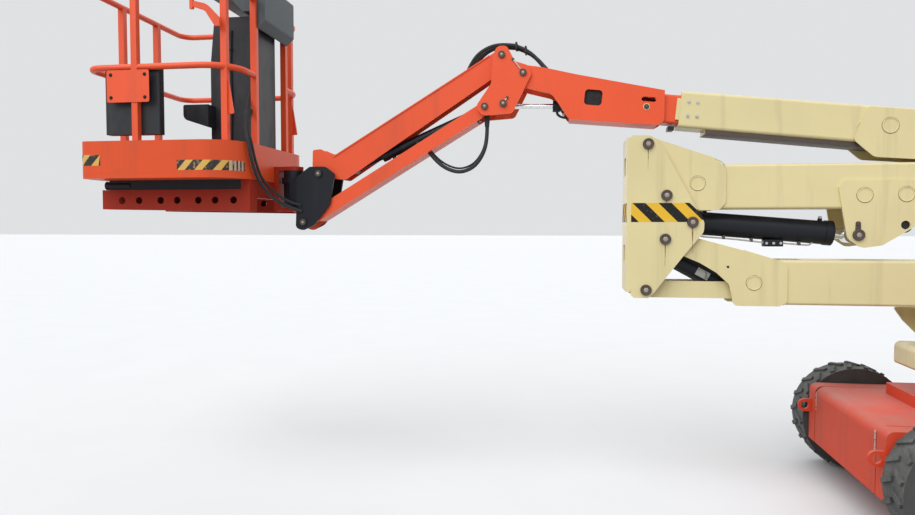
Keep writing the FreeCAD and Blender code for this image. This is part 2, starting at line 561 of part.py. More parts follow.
low_x, low_z = "lower_front_pin_x - link_back", "lower_front_pin_z - link_below"
w_x, w_z = low_x + " + low_rod_back", low_z + " - low_rod_below"
drop = [(w_x + " - 60", low_z), (w_x + " + 60", low_z), (w_x + " + 30", w_z + " - 20"), (w_x, w_z + " - 34"),
        (w_x + " - 30", w_z + " - 20")]
node("lower_link", link(low_x, "lower_rear_pin_x - link_back", low_z, (
    both_sides(drop, "link_half_gap", "link_half_gap + link_bar_thick"),
    stub_pins(w_x, w_z, "link_half_gap", 36, "link_half_gap + link_bar_thick", 42))))
node("upper_link", link("upper_front_pin_x + link_back", "upper_rear_pin_x + link_back",
                        "upper_front_pin_z - link_below", fork=True))

# Front upright

p4x, p4z = "lower_front_pin_x", "lower_front_pin_z"
p1x, p1z = "upper_front_pin_x", "upper_front_pin_z"
outline = [(p1x + " - 96", p1z + " + 52", "10"), (p1x + " + 20", p1z + " + 50", "50"),
           (p1x + " + 88", p1z + " - 27", "45"), (p4x + " + 222", p4z + " + 98", "30"),
           (p4x + " + 220", p4z + " + 42", "50"), (p4x + " + 101", p4z + " - 106"),
           (p4x + " - 57", p4z + " - 315"), (p4x + " - 92", p4z + " - 353", "25"),
           (p4x + " - 192", p4z + " - 353", "25"), (p4x + " - 200", p4z + " - 300")]
face = box((p1x + " - 121", p1x + " - 96"), ("-cheek_y - cheek_thick", "cheek_y + cheek_thick"),
           (p4z + " - 318", p1z + " + 40"))
slots = [box((p1x + " - 122", p1x + " - 95"), (-60, 60), (p1z + " - 180", p1z + " - 70")),
         box((p1x + " - 122", p1x + " - 95"), (-60, 60), (p4z + " - 140", p4z + " - 40"))]
node("front_upright", fuse(both_sides(outline, *cheek), cut(face, slots),
                           cross_pin(p1x, p1z), cross_pin(p4x, p4z),
                           cross_pin(p1x + " + link_back", p1z + " - link_below"),
                           cross_pin(low_x, low_z),
                           cross_pin(p4x + " + lift_pin_back", p4z + " + lift_pin_up"),
                           both_sides([(p4x + " - 201", p4z + " - 150"), (p4x + " + 52", p4z + " - 123", "29"),
                                      (p4x + " + 52", p4z + " - 63", "29"), (p4x + " - 201", p4z + " - 50")], 60, 71),
                          round_y(p4x + " + low_lift_back", p4z + " - low_lift_below", 36, -71, 71)))

# Rear upright

q1x, q1z = "upper_rear_pin_x", "upper_rear_pin_z"
outline = [(q1x + " - 62", q1z + " + 62", "40"), ("boom_pin_x + 75", q1z + " + 62", "40"),
           ("boom_pin_x + 95", "boom_pin_z + 20", "40"), ("boom_pin_x + 95", "boom_pin_z - main_lift_below - 75", "60"),
           ("boom_pin_x - main_lift_ahead - 75", "boom_pin_z - main_lift_below - 75", "50"),
           ("boom_pin_x - main_lift_ahead - 75", "boom_pin_z - main_lift_below + 60", "50"),
           (q1x + " + link_back - 75", q1z + " - link_below - 40", "50"), (q1x + " - 62", q1z + " - 60", "40")]
back = box(("boom_pin_x + 80", "boom_pin_x + 95"), ("-cheek_y - 1", "cheek_y + 1"),
           ("boom_pin_z - main_lift_below", "boom_pin_z - 140"))
node("rear_upright", fuse(both_sides(outline, *cheek), back,
                          stub_pins(q1x, q1z, "arm_width / 2 - 4"),
                          stub_pins(q1x + " + link_back", q1z + " - link_below", "link_half_gap - 4"),
                          cross_pin("boom_pin_x", "boom_pin_z"),
                          cross_pin("boom_pin_x - main_lift_ahead", "boom_pin_z - main_lift_below")))

# Main boom, drawn level along -X from its pin and then tilted

tilt = dict(x="boom_pin_x", z="boom_pin_z", axis=(0, 1, 0), angle="boom_angle")
half = "boom_depth / 2"
tube = fuse(beam(("-boom_length", "-108"), "boom_width / 2", ("-" + half, half), "boom_wall", "18"),
            box(("-109", "0"), ("-boom_width / 2", "boom_width / 2"), ("-" + half, half)))
heel = round_y(0, 0, "boom_depth", "-boom_width / 2", "boom_width / 2")
skirt = [("-1570", half + " - 10", "25"), ("-main_rod_out + 100", half + " - 10", "25"),
         ("-main_rod_out + 60", "-main_rod_below - 52", "50"), ("-main_rod_out - 90", "-main_rod_below - 52", "60"),
         ("-main_rod_out - 180", "-168", "60"), ("-1500", "-186", "60"), ("-1625", "-%s + 10" % half, "30")]
skirts = both_sides(skirt, "boom_width / 2 - 0.5", "boom_width / 2 + 10")
strip = box(("-boom_length + 160", "-1480"), ("-boom_width / 2 + 16", "boom_width / 2 - 16"),
            ("-%s - 26" % half, "-%s + 2" % half))
pads = [box(("-boom_length", "-boom_length + 60"), ("-fly_width / 2", "fly_width / 2"), z) for z in
        (("fly_depth / 2 + seat_gap", half + " - boom_wall + 1"), ("-%s + boom_wall - 1" % half, "-fly_depth / 2 - seat_gap"))]
pads += [box(("-boom_length", "-boom_length + 60"), y, ("-fly_depth / 2", "fly_depth / 2")) for y in
         (("fly_width / 2 + seat_gap", "boom_width / 2 - boom_wall + 1"),
          ("-boom_width / 2 + boom_wall - 1", "-fly_width / 2 - seat_gap"))]
lips = [box(("-boom_length - 22", "-boom_length + 70"), y, ("-fly_depth / 2 + 22", "fly_depth / 2 - 22")) for y in
        (("fly_width / 2 + seat_gap", "boom_width / 2 - boom_wall - 2"),
         ("-boom_width / 2 + boom_wall + 2", "-fly_width / 2 - seat_gap"))]
node("main_boom", fuse(
    cut(fuse(tube, heel, skirts, strip, pads, lips), round_y(0, 0, hole, -200, 200)),
    stub_pins("-main_rod_out", "-main_rod_below", "boom_width / 2", 44, "boom_width / 2 + 14", 56)[:2]), **tilt)

# Fly, drawn in the same way

start = "-boom_length + fly_inside"
fly_tube = beam(("-boom_length - 640", start), "fly_width / 2", ("-fly_depth / 2", "fly_depth / 2"), "fly_wall", "14")
e_x, e_z = "-boom_length - elbow_out", "elbow_up"
nose = [(e_x + " - 44", e_z + " + 20", "40"), (e_x + " + 4", e_z + " + 50", "40"),
        (e_x + " + 116", e_z + " + 44"), (e_x + " + 319", e_z + " + 17"),
        (e_x + " + 852", e_z + " - 38", "8"), (e_x + " + 868", e_z + " - 220", "25"),
        (e_x + " + 832", e_z + " - 247", "25"), (e_x + " + 305", e_z + " - 255", "55"),
        (e_x + " + 189", e_z + " - 113", "55"), (e_x + " + 20", e_z + " - 87", "40"),
        (e_x + " - 44", e_z + " - 30", "40")]
window = plate([(e_x + " + 385", e_z + " - 160", "22"), (e_x + " + 490", e_z + " - 160", "22"),
                (e_x + " + 490", e_z + " - 67", "22"), (e_x + " + 385", e_z + " - 67", "22")], -150, 150)
side_slot = plate([(e_x + " + 722", e_z + " - 112", "13"), (e_x + " + 808", e_z + " - 112", "13"),
                   (e_x + " + 808", e_z + " - 84", "13"), (e_x + " + 722", e_z + " - 84", "13")], -150, 150)
roof = plate([(e_x + " + 116", e_z + " + 44"), (e_x + " + 319", e_z + " + 17"), (e_x + " + 852", e_z + " - 38"),
              (e_x + " + 852", e_z + " - 48"), (e_x + " + 319", e_z + " + 5"), (e_x + " + 116", e_z + " + 32")],
             "-nose_width / 2", "nose_width / 2")
belly = plate([(e_x + " + 832", e_z + " - 247"), (e_x + " + 305", e_z + " - 255"), (e_x + " + 305", e_z + " - 243"),
               (e_x + " + 832", e_z + " - 235")], "-nose_width / 2", "nose_width / 2")
collar = [box(("-boom_length - 200", "-boom_length - 120"), ("-nose_width / 2 + 1", "nose_width / 2 - 1"), z) for z in
          (("fly_depth / 2 - 2", "fly_depth / 2 + 10"), ("-fly_depth / 2 - 16", "-fly_depth / 2 + 2"))]
s_x, s_z = e_x + " + 581", e_z + " - 141"
sides = both_sides(nose, "nose_width / 2 - 12", "nose_width / 2")
bridge = [box(("-boom_length - 600", "-boom_length - 110"), y, (-60, 60)) for y in
          (("fly_width / 2 - 1", "nose_width / 2 - 1"), ("-nose_width / 2 + 1", "-fly_width / 2 + 1"))]
node("fly_boom", fuse(cut(fuse(fly_tube, sides, roof, belly, collar, bridge), window, side_slot,
                          box((s_x + " - 700", s_x + " + 60"), (-50, 50), (s_z + " - 60", s_z + " + 60"))),
                      [round_y(e_x, e_z, "jib_pin_dia", "-elbow_half - elbow_thick - 8", "elbow_half + elbow_thick + 8"),
                       round_y(s_x, s_z, 30, "-nose_width / 2", "nose_width / 2")]), **tilt)

# Places of the elbow and jib, from the main boom's direction

sin_b, cos_b = "sin(boom_angle * 1deg)", "cos(boom_angle * 1deg)"
elbow_x = "(boom_pin_x - (boom_length + elbow_out) * %s + elbow_up * %s)" % (cos_b, sin_b)
elbow_z = "(boom_pin_z + (boom_length + elbow_out) * %s + elbow_up * %s)" % (sin_b, cos_b)
a = ("-131", "113")
b = ("-131 - jib_pin_x_step", "113 - jib_pin_z_step")
slave = ("-121", "-184")
outline = [("-185", "110", "30"), ("-160", "166", "36"), ("-100", "166", "36"), ("-50", "70", "40"), ("30", "44", "36"),
           ("52", "-10", "36"), ("-66", "-244", "36"), ("-250", "-256", "45"), ("-292", "-200", "36"),
           ("-196", "-60", "30")]


def inner_bosses(x, z, reach, wall, dia=66):
    """Collars that fill the space between a cheek and the link beside it."""
    return [round_y(x, z, dia, reach, wall), round_y(x, z, dia, "-(%s)" % wall, "-(%s)" % reach)]


elbow_cheek = ("elbow_half", "elbow_half + elbow_thick")
elbow = fuse(both_sides(outline, *elbow_cheek),
             [round_y(*p, "jib_pin_dia", "-elbow_half - elbow_thick - 8", "elbow_half + elbow_thick + 8")
              for p in (a, b)],
             stub_pins(*slave, "elbow_half", 30, "elbow_half + elbow_thick", 40),
             inner_bosses(*a, "jib_width / 2 + 2", "elbow_half + 1"),
             inner_bosses(*b, "jib_outer / 2 + 2", "elbow_half + 1"))
node("elbow", cut(elbow, round_y(0, 0, "jib_pin_dia + 2 * pin_clear", -200, 200)), x=elbow_x, z=elbow_z)

a_x, a_z = "%s - 131" % elbow_x, "%s + 113" % elbow_z
b_x, b_z = "(%s) - jib_pin_x_step" % a_x, "(%s) - jib_pin_z_step" % a_z
jib_tilt = dict(axis=(0, -1, 0), angle="jib_angle")

hole = "jib_pin_dia + 2 * pin_clear"
t_x, t_z = "-1177", "-84"
outline = [("42", "-30", "30"), ("42", "36", "30"), ("-8", "49", "20"), ("-jib_length + 150", "49", "20"),
           ("-jib_length + 112", "96", "18"), ("-jib_length + 84", "136", "18"), ("-jib_length + 36", "158", "12"),
           ("-jib_length - 14", "80", "30"), ("-jib_length - 42", "30", "26"), ("-jib_length - 42", "-30", "30"),
           ("-jib_length + 40", "-56", "40"), ("-jib_length + 122", "-121", "20"), ("-60", "-80", "30")]
cap = [("-64", "44"), ("-jib_length + 130", "44"), ("-jib_length + 130", "52"), ("-64", "52")]
flare = [("-jib_length + 164", "44"), ("-jib_length + 106", "90"), ("-jib_length + 79", "129"),
         ("-jib_length + 38", "149"), ("-jib_length + 34", "141"), ("-jib_length + 73", "122"),
         ("-jib_length + 100", "84"), ("-jib_length + 150", "44")]
upper = fuse(both_sides(outline, "jib_width / 2 - jib_wall", "jib_width / 2"),
             plate(cap, "-jib_width / 2 - 5", "jib_width / 2 + 5"),
             plate(flare, "-jib_width / 2 + 1", "jib_width / 2 - 1"),
             [round_y(x, 0, 74, "jib_width / 2 - 1", "jib_width / 2 + 1") for x in ("0", "-jib_length")],
             [round_y(x, 0, 74, "-jib_width / 2 - 1", "-jib_width / 2 + 1") for x in ("0", "-jib_length")])
node("jib_upper_link", fuse(cut(upper, [round_y(x, 0, hole, -200, 200) for x in ("0", "-jib_length")]),
                            stub_pins(t_x, t_z, "44", 30, "jib_width / 2 - 1", 30)[:2],
                            inner_bosses(t_x, t_z, "44", "jib_width / 2 - 1", 56)), x=a_x, z=a_z, **jib_tilt)
outline = [("42", "-34", "34"), ("42", "36", "34"), ("-jib_length - 42", "36", "34"), ("-jib_length - 42", "-46", "34"),
           ("-60", "-46", "34")]
lower = fuse(both_sides(outline, "jib_outer / 2 - jib_wall", "jib_outer / 2"),
             box(("-jib_length + 90", "-90"), ("-jib_outer / 2 + 1", "jib_outer / 2 - 1"), (-46, -39)))
node("jib_lower_link", cut(lower, [round_y(x, 0, hole, -200, 200) for x in ("0", "-jib_length")]),
     x=b_x, z=b_z, **jib_tilt)

# Jib head with the platform rotator

c_x = "(%s - jib_length * cos(jib_angle * 1deg))" % a_x
c_z = "(%s - jib_length * sin(jib_angle * 1deg))" % a_z
d_step = ("-jib_pin_x_step", "-jib_pin_z_step")
outline = [("-150", "-22", "16"), ("-60", "44", "20"), ("44", "44", "40"), ("108", "-4", "16"), ("74", "-200", "60"),
           ("-30", "-330", "60"), ("-106", "-366", "44"), ("-156", "-350", "30"), ("-150", "-200", "20")]
head_cheek = ("head_half", "head_half + head_thick")
yoke = [plate([("-rotator_ahead", "-196"), ("-140", "-196"), ("-140", "-34"), ("-rotator_ahead", "-24")], -78, 78),
        box((-149, -132), ("-head_half - 1", "head_half + 1"), (-196, -40))]
core = round_z("-rotator_ahead", 0, "rotator_dia", -214, "rotator_height - 214")
band = round_z("-rotator_ahead", 0, "rotator_dia + 24", -60, -22)
node("jib_head", fuse(both_sides(outline, *head_cheek), yoke, core, band,
                      [round_y(*p, "jib_pin_dia", "-head_half - head_thick - 10", "head_half + head_thick + 10")
                       for p in (("0", "0"), d_step)],
                      inner_bosses("0", "0", "jib_width / 2 + 2", "head_half + 1"),
                      [round_y(*p, 56, "head_half + head_thick - 1", "head_half + head_thick + 6")
                       for p in (("0", "0"), d_step)],
                      [round_y(*p, 56, "-head_half - head_thick - 6", "-head_half - head_thick + 1")
                       for p in (("0", "0"), d_step)]), x=c_x, z=c_z)

# Platform, drawn from the swivel axis

swivel_x = "(%s - rotator_ahead)" % c_x
left, right = "-platform_gap - platform_depth", "-platform_gap"
py = "platform_width / 2"
at = dict(x=swivel_x, z="platform_floor_z")


def ring(inset, wide, tip):
    """Plan outline of the platform, round at the boom end and less so at the other."""
    x0, x1, y = left + " + " + inset, right + " - " + inset, "%s - %s" % (py, inset)
    return [(x0, "-(%s)" % y, tip), (x1, "-(%s)" % y, wide), (x1, y, wide), (x0, y, tip)]


node("platform_floor", plan(ring("0", "hoop_bend + rail_inset", "60"), "0", "floor_thick"), **at)
toe_z = ("floor_thick + seat_gap", "toe_height")
toe = cut(plan(ring("0", "hoop_bend + rail_inset", "60"), *toe_z),
          plan(ring("toe_thick", "hoop_bend + rail_inset - toe_thick", "60 - toe_thick"), "0", "toe_height + 1"))
lip = cut(plan(ring("0", "hoop_bend + rail_inset", "60"), "toe_height - 6", "toe_height"),
          plan(ring("18", "hoop_bend + rail_inset - 18", "42"), "toe_height - 7", "toe_height + 1"))
node("toe_board", fuse(toe, lip), **at)


def quarter(x, y, radius, level, turn):
    """Quarter bend of rail tube."""
    bend = doc.addObject("Part::Torus", fresh("bend"))
    bind(bend, Radius1=radius, Radius2="rail_dia / 2")
    bend.Angle3 = 90
    return put(bend, x, y, level, (0, 0, 1), str(turn))


def hoop(level, open_half):
    """Rail round the platform, open at the boom end where open_half is given."""
    x0, x1, y = left + " + rail_inset", right + " - rail_inset", py + " - rail_inset"
    out = []
    for s in ("-", ""):
        out.append(round_x("%s(%s)" % (s, y), level, "rail_dia", x0 + " + hoop_tip", x1 + " - hoop_bend"))
    out.append(round_y(x0, level, "rail_dia", "-(%s) + hoop_tip" % y, y + " - hoop_tip"))
    if open_half:
        out.append(round_y(x1, level, "rail_dia", "-(%s) + hoop_bend" % y, "-(%s)" % open_half))
        out.append(round_y(x1, level, "rail_dia", open_half, y + " - hoop_bend"))
    else:
        out.append(round_y(x1, level, "rail_dia", "-(%s) + hoop_bend" % y, y + " - hoop_bend"))
    out.append(quarter(x1 + " - hoop_bend", "-(%s) + hoop_bend" % y, "hoop_bend", level, -90))
    out.append(quarter(x1 + " - hoop_bend", y + " - hoop_bend", "hoop_bend", level, 0))
    out.append(quarter(x0 + " + hoop_tip", y + " - hoop_tip", "hoop_tip", level, 90))
    out.append(quarter(x0 + " + hoop_tip", "-(%s) + hoop_tip" % y, "hoop_tip", level, 180))
    return out


def post(x, y, z0="floor_thick", z1="top_rail_height"):
    """Square rail post."""
    return box(("%s - rail_dia / 2" % x, "%s + rail_dia / 2" % x), ("%s - rail_dia / 2" % y, "%s + rail_dia / 2" % y),
               (z0, z1))


POSTS = [("-758", "-%s + rail_inset" % py), ("-758", py + " - rail_inset"), ("-222", "-510"), ("-222", "510"),
         (left + " + rail_inset", "-200"), (left + " + rail_inset", "200"),
         (right + " - rail_inset", "-240"), (right + " - rail_inset", "240")]
rails = hoop("mid_rail_height", "240") + hoop("top_rail_height", None) + [post(*p) for p in POSTS]
webs = [plate([("-206", "380"), ("-168", "380", "10"), ("-206", "620")], y0, y1)
        for y0, y1 in (("-516", "-504"), ("504", "516"))]
brace = plate([("-222", "880"), ("-222", "930", "30"), ("-300", "1010", "60"), ("-392", "1034"), ("-392", "1000"),
               ("-310", "972", "50"), ("-250", "880")], "-%s + rail_inset - 8" % py, "-%s + rail_inset + 8" % py)
tab = box(("-404", "-384"), ("-%s + rail_inset - 10" % py, "-%s + rail_inset + 10" % py), ("985", "top_rail_height"))
node("platform_rails", fuse(rails, webs, brace, tab), **at)
side_y = "-%s + rail_inset" % py
back_y = side_y + " + rail_dia / 2 + seat_gap"
node("document_box", plan([("-972", back_y, "8"), ("-620", back_y, "8"), ("-620", back_y + " + 62", "14"),
                           ("-972", back_y + " + 62", "14")], 265, 660), **at)
node("rail_plate", fuse(plate([("-932", "450", "12"), ("-660", "450", "12"), ("-660", "640", "12"), ("-932", "640", "12")],
                              side_y + " - rail_dia / 2 - 5", side_y + " - rail_dia / 2 - seat_gap")), **at)
node("gate_latch", box(("-560", "-440"), (side_y + " - 28", side_y + " - rail_dia / 2 - seat_gap"), (1075, 1118)), **at)

# Support: forks round the rotator, a spine, and beams below the floor

c_rel = "((%s) - platform_floor_z)" % c_z
edge = right + " + seat_gap"
forks = [plan([(edge, "-45"), (right + " + 60", "-45"), ("36", "-64", "40"), ("70", "0", "40"), ("36", "64", "40"),
               (right + " + 60", "45"), (edge, "45")], z0, z1) for z0, z1 in
         ((c_rel + " - 214 - 25", c_rel + " - 214 - seat_gap"),
          (c_rel + " - 214 + rotator_height + seat_gap", c_rel + " - 214 + rotator_height + 25"))]
spine = box((right + " - 4", right + " + 30"), ("-45", "45"), (c_rel + " - 239", "-6"))
plate_up = box((edge, right + " + 30"), ("-45", "45"), ("-7", c_rel + " + 51"))
spread = box((right + " - 60", right + " - 3"), ("channel_y - 50", "-channel_y + 50"), ("-110", "-seat_gap"))


def rail_channel(y0, y1):
    """Channel below the floor with round holes through both flanges."""
    x0, x1 = left + " + 18", right + " - 3"
    bottom = [(x0, "-180"), (x1, "-196"), (x1, "-60"), (x0, "-60")]
    outer = plate(bottom, y0, y1)
    inner = plate([(x0 + " - 1", "-172"), (x1 + " - 6", "-188"), (x1 + " - 6", "-66"), (x0 + " - 1", "-66")],
                  y0 + " + 6", y1 + " - 6")
    bores = [round_y("%s + %d" % (left, along), -126, 44, y0 + " - 1", y1 + " + 1")
             for along in (150, 265, 410, 520, 660, 770, 890)]
    return cut(outer, inner, bores)


channels = [rail_channel("channel_y - 50", "channel_y + 50"), rail_channel("-channel_y - 50", "-channel_y + 50")]
node("platform_support", fuse(spine, plate_up, forks, spread, channels), **at)
node("floor_bearers", fuse([box((left + " + 60", right + " - 62"), y, ("-59.7", "-seat_gap")) for y in
                            (("channel_y - 40", "channel_y + 40"), ("-channel_y - 40", "-channel_y + 40"))],
                           round_x("channel_y - 20", "-32", 52, left + " + 30", left + " + 200"),
                           [box((left + " + 60", right + " - 62"), ("-30", "30"), ("-59.7", "-seat_gap"))],
                           [box((x, x + " + 60"), ("channel_y", "-channel_y"), ("-59.7", "-seat_gap")) for x in
                            (left + " + 60", left + " + 480")]), **at)

# Controls: a column at the boom end with a box across the top rail

column_x = right + " - rail_inset - rail_dia / 2 - seat_gap"
stand = [(column_x + " - 330", "floor_thick + seat_gap", "20"), (column_x, "floor_thick + seat_gap"), (column_x, 1060),
         (column_x + " - 300", 1060, "40"), (column_x + " - 330", 760)]
column = plate(stand, -130, 130)
tray = plate([(column_x + " - 470", 400, "40"), (column_x + " - 470", 490, "12"), (column_x + " - 300", 490),
              (column_x + " - 300", 345)], -230, 90)
node("console_stand", fuse(column, tray), **at)
shell = [("-452", "1150", "20"), ("-300", "1130"), ("-215", "1040"), ("-140", "950", "10"), ("-84", "1000", "16"),
         ("-84", "1230", "20"), ("-160", "1290", "20"), ("-452", "1225", "20")]
rail_gap = box((right + " - rail_inset - rail_dia / 2 - seat_gap", right + " - rail_inset + rail_dia / 2 + seat_gap"),
               (-260, 260), (900, "top_rail_height + rail_dia / 2 + seat_gap"))
node("control_console", cut(plate(shell, -240, 240), rail_gap,
                            plate([(column_x + " - 340", 900), (column_x, 900), (column_x, "1060 + seat_gap"),
                                   (column_x + " - 340", "1060 + seat_gap")], -250, 250)), **at)


# Hydraulic cylinders: the barrel's eye on its pin, the rod along the line between the two pins

def ram(name, start, stop, span, sizes, shut, eye_width, draw):
    """Barrel and rod between two pins; draw is how far the rod can still slide in."""
    bore_dia, rod_dia, eye_dia, pin_dia, rod_pin_dia = sizes
    turn = dict(axis=(0, -1, 0),
                angle="atan2((%s) - (%s); (%s) - (%s))" % (stop[1], start[1], stop[0], start[0]))
    half_eye = eye_width / 2.0
    mouth = "(%s) - %s" % (span, shut)
    eye = round_y(0, 0, eye_dia, -half_eye, half_eye)
    tube = round_x(0, 0, bore_dia, eye_dia / 2.0 - 6, mouth)
    gland = round_x(0, 0, bore_dia + 8, mouth + " - 44", mouth)
    seam = round_x(0, 0, bore_dia + 5, eye_dia / 2.0 + 8, eye_dia / 2.0 + 24)
    ports = [round_z(x, 0, 26, bore_dia / 2.0 - 4, bore_dia / 2.0 + 12) for x in
             (eye_dia / 2.0 + 40, mouth + " - 70")]
    hollow = round_x(0, 0, "%s + 2 * pin_clear" % rod_dia, eye_dia / 2.0 + 20, span)
    barrel = cut(fuse(eye, tube, gland, seam, ports), hollow, round_y(0, 0, "%s + 2 * pin_clear" % pin_dia, -100, 100))
    node(name + "_barrel", barrel, x=start[0], z=start[1], **turn)
    rod_eye = round_y(span, 0, eye_dia, -half_eye, half_eye)
    shaft = round_x(0, 0, rod_dia, eye_dia / 2.0 + 26 + draw, "(%s) - %s" % (span, eye_dia / 2.0 - 6))
    rod = cut(fuse(rod_eye, shaft), round_y(span, 0, "%s + 0.6" % rod_pin_dia, -100, 100))
    node(name + "_rod", rod, x=start[0], z=start[1], **turn)


def apart(start, stop):
    return "sqrt(((%s) - (%s))^2 + ((%s) - (%s))^2)" % (stop[0], start[0], stop[1], start[1])


pairs = [
    ("upper_lift", (p4x + " + lift_pin_back", p4z + " + lift_pin_up"), (rod_x, rod_z),
     (140, 60, 100, "arm_pin_dia", "arm_pin_dia"), 105, 100, 0),
    ("lower_lift", (p4x + " + low_lift_back", p4z + " - low_lift_below"), (w_x, w_z), (116, 56, 68, 36, 36), 95, 90, 0),
    ("main_lift", ("boom_pin_x - main_lift_ahead", "boom_pin_z - main_lift_below"),
     ("boom_pin_x - main_rod_out * %s - main_rod_below * %s" % (cos_b, sin_b),
      "boom_pin_z + main_rod_out * %s - main_rod_below * %s" % (sin_b, cos_b)),
     (112, 56, 90, "arm_pin_dia", 44), 100, 90, 0),
    ("level", ("%s + 581 * %s - 141 * %s" % (elbow_x, cos_b, sin_b), "%s - 581 * %s - 141 * %s" % (elbow_z, sin_b, cos_b)),
     ("%s - 121" % elbow_x, "%s - 184" % elbow_z), (62, 32, 56, 30, 30), 300, 60, 255),
    ("jib_lift", (b_x, b_z), ("%s - 1177 * cos(jib_angle * 1deg) + 84 * sin(jib_angle * 1deg)" % a_x,
                              "%s - 1177 * sin(jib_angle * 1deg) - 84 * cos(jib_angle * 1deg)" % a_z),
     (66, 36, 60, "jib_pin_dia", 30), 200, 80, 120),
]
for name, start, stop, sizes, shut, eye_width, draw in pairs:
    ram(name, start, stop, apart(start, stop), sizes, shut, eye_width, draw)

doc.recompute()
for obj in doc.Objects:
    if "Invalid" in obj.State or "Error" in obj.State:
        raise RuntimeError("%s failed" % obj.Name)
for name, obj in NODES:
    if obj.Shape.isNull() or not obj.Shape.isValid():
        raise RuntimeError("%s has no valid shape" % name)
os.makedirs("parts", exist_ok=True)
for name, obj in NODES:
    obj.Shape.exportStep("parts/%s.step" % name)
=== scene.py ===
import math
import random
import bpy
import bmesh
from mathutils import Matrix, Vector


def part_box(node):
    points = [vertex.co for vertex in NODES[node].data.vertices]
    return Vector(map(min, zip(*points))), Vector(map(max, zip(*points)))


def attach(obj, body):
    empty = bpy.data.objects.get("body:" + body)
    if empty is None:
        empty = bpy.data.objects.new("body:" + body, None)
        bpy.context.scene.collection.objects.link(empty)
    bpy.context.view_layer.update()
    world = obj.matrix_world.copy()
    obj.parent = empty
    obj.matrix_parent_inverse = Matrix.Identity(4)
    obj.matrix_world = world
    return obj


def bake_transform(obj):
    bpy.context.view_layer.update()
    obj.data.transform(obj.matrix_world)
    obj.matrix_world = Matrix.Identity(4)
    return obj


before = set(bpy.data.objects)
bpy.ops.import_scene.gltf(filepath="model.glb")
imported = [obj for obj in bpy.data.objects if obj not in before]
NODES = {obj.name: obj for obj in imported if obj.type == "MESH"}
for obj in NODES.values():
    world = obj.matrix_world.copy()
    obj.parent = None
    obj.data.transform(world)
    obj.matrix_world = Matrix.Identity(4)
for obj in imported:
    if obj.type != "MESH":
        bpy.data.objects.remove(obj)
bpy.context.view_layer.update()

bl_info = {
    "name": "Boom lift dressing",
    "version": (2, 0, 0),
    "blender": (4, 5, 0),
    "location": "View3D > Sidebar > Boom lift",
    "description": "Paint, markings, hoses and fasteners of an articulating boom lift",
    "category": "Object",
}

# Pin centres in the row frame, (x, z) in metres
P1, P2, P3, P4, P5 = (-0.2333, 2.1510), (-0.1243, 1.8470), (0.0257, 1.6880), (-0.1293, 1.5880), (-0.2383, 1.2840)
Q1, Q2, R1 = (2.3667, 2.1510), (2.4757, 1.8470), (2.5457, 2.0900)
Q4, Q5, C1, C2 = (1.9707, 1.5880), (1.8617, 1.2840), (2.4957, 1.4900), (1.7328, 2.0095)
ROD, W, S = (0.9497, 1.6140), (0.3657, 1.2340), (-0.4141, 2.4001)
E, E2, A, B = (-0.9772, 2.6010), (-1.0982, 2.4170), (-1.1082, 2.7140), (-1.2132, 2.4020)
C, D, SWIVEL = (-2.2882, 2.0023), (-2.3932, 1.6903), (-2.4932, 2.0023)

# Side planes, metres from the middle
CHEEK, GUSSET, SKIRT, ELBOW, HEAD = 0.161, 0.132, 0.108, 0.118, 0.102


# Shader building blocks

class Net:
    """A material's nodes, made and joined in order."""

    def __init__(self, name):
        self.mat = bpy.data.materials.new(name)
        self.mat.use_nodes = True
        self.tree = self.mat.node_tree
        self.bsdf = self.tree.nodes["Principled BSDF"]
        self.coord = self.tree.nodes.new("ShaderNodeTexCoord")

    def add(self, kind, inputs=(), **facts):
        n = self.tree.nodes.new("ShaderNode" + kind)
        for key, value in facts.items():
            setattr(n, key, value)
        for key, value in dict(inputs).items():
            if hasattr(value, "links"):
                self.tree.links.new(value, n.inputs[key])
            else:
                n.inputs[key].default_value = value
        return n

    def noise(self, scale, detail=4.0, rough=0.55, stretch=(1, 1, 1), offset=(0, 0, 0)):
        place = self.add("Mapping", {"Vector": self.coord.outputs["Object"], "Scale": stretch, "Location": offset})
        return self.add("TexNoise", {"Vector": place.outputs[0], "Scale": scale, "Detail": detail,
                                     "Roughness": rough}).outputs["Fac"]

    def ramp(self, fac, low, high, bottom=0.0, top=1.0):
        r = self.add("MapRange", {"Value": fac, "From Min": low, "From Max": high, "To Min": bottom, "To Max": top})
        r.clamp = True
        return r.outputs["Result"]

    def math(self, kind, a, b=0.0):
        return self.add("Math", {0: a, 1: b}, operation=kind, use_clamp=False).outputs[0]

    def mix(self, fac, a, b, kind="MIX"):
        m = self.add("Mix", {}, data_type="RGBA", blend_type=kind)
        for slot, value in ((0, fac), (6, a), (7, b)):
            if hasattr(value, "links"):
                self.tree.links.new(value, m.inputs[slot])
            else:
                m.inputs[slot].default_value = value
        return m.outputs[2]

    def set(self, socket, value):
        if hasattr(value, "links"):
            self.tree.links.new(value, self.bsdf.inputs[socket])
        else:
            self.bsdf.inputs[socket].default_value = value

    def bump(self, height, strength, distance=0.002):
        b = self.add("Bump", {"Height": height, "Strength": strength, "Distance": distance})
        self.tree.links.new(b.outputs[0], self.bsdf.inputs["Normal"])


def rgba(c):
    return (c[0], c[1], c[2], 1.0)


def shade(c, k):
    return rgba([min(1.0, v * k) for v in c])


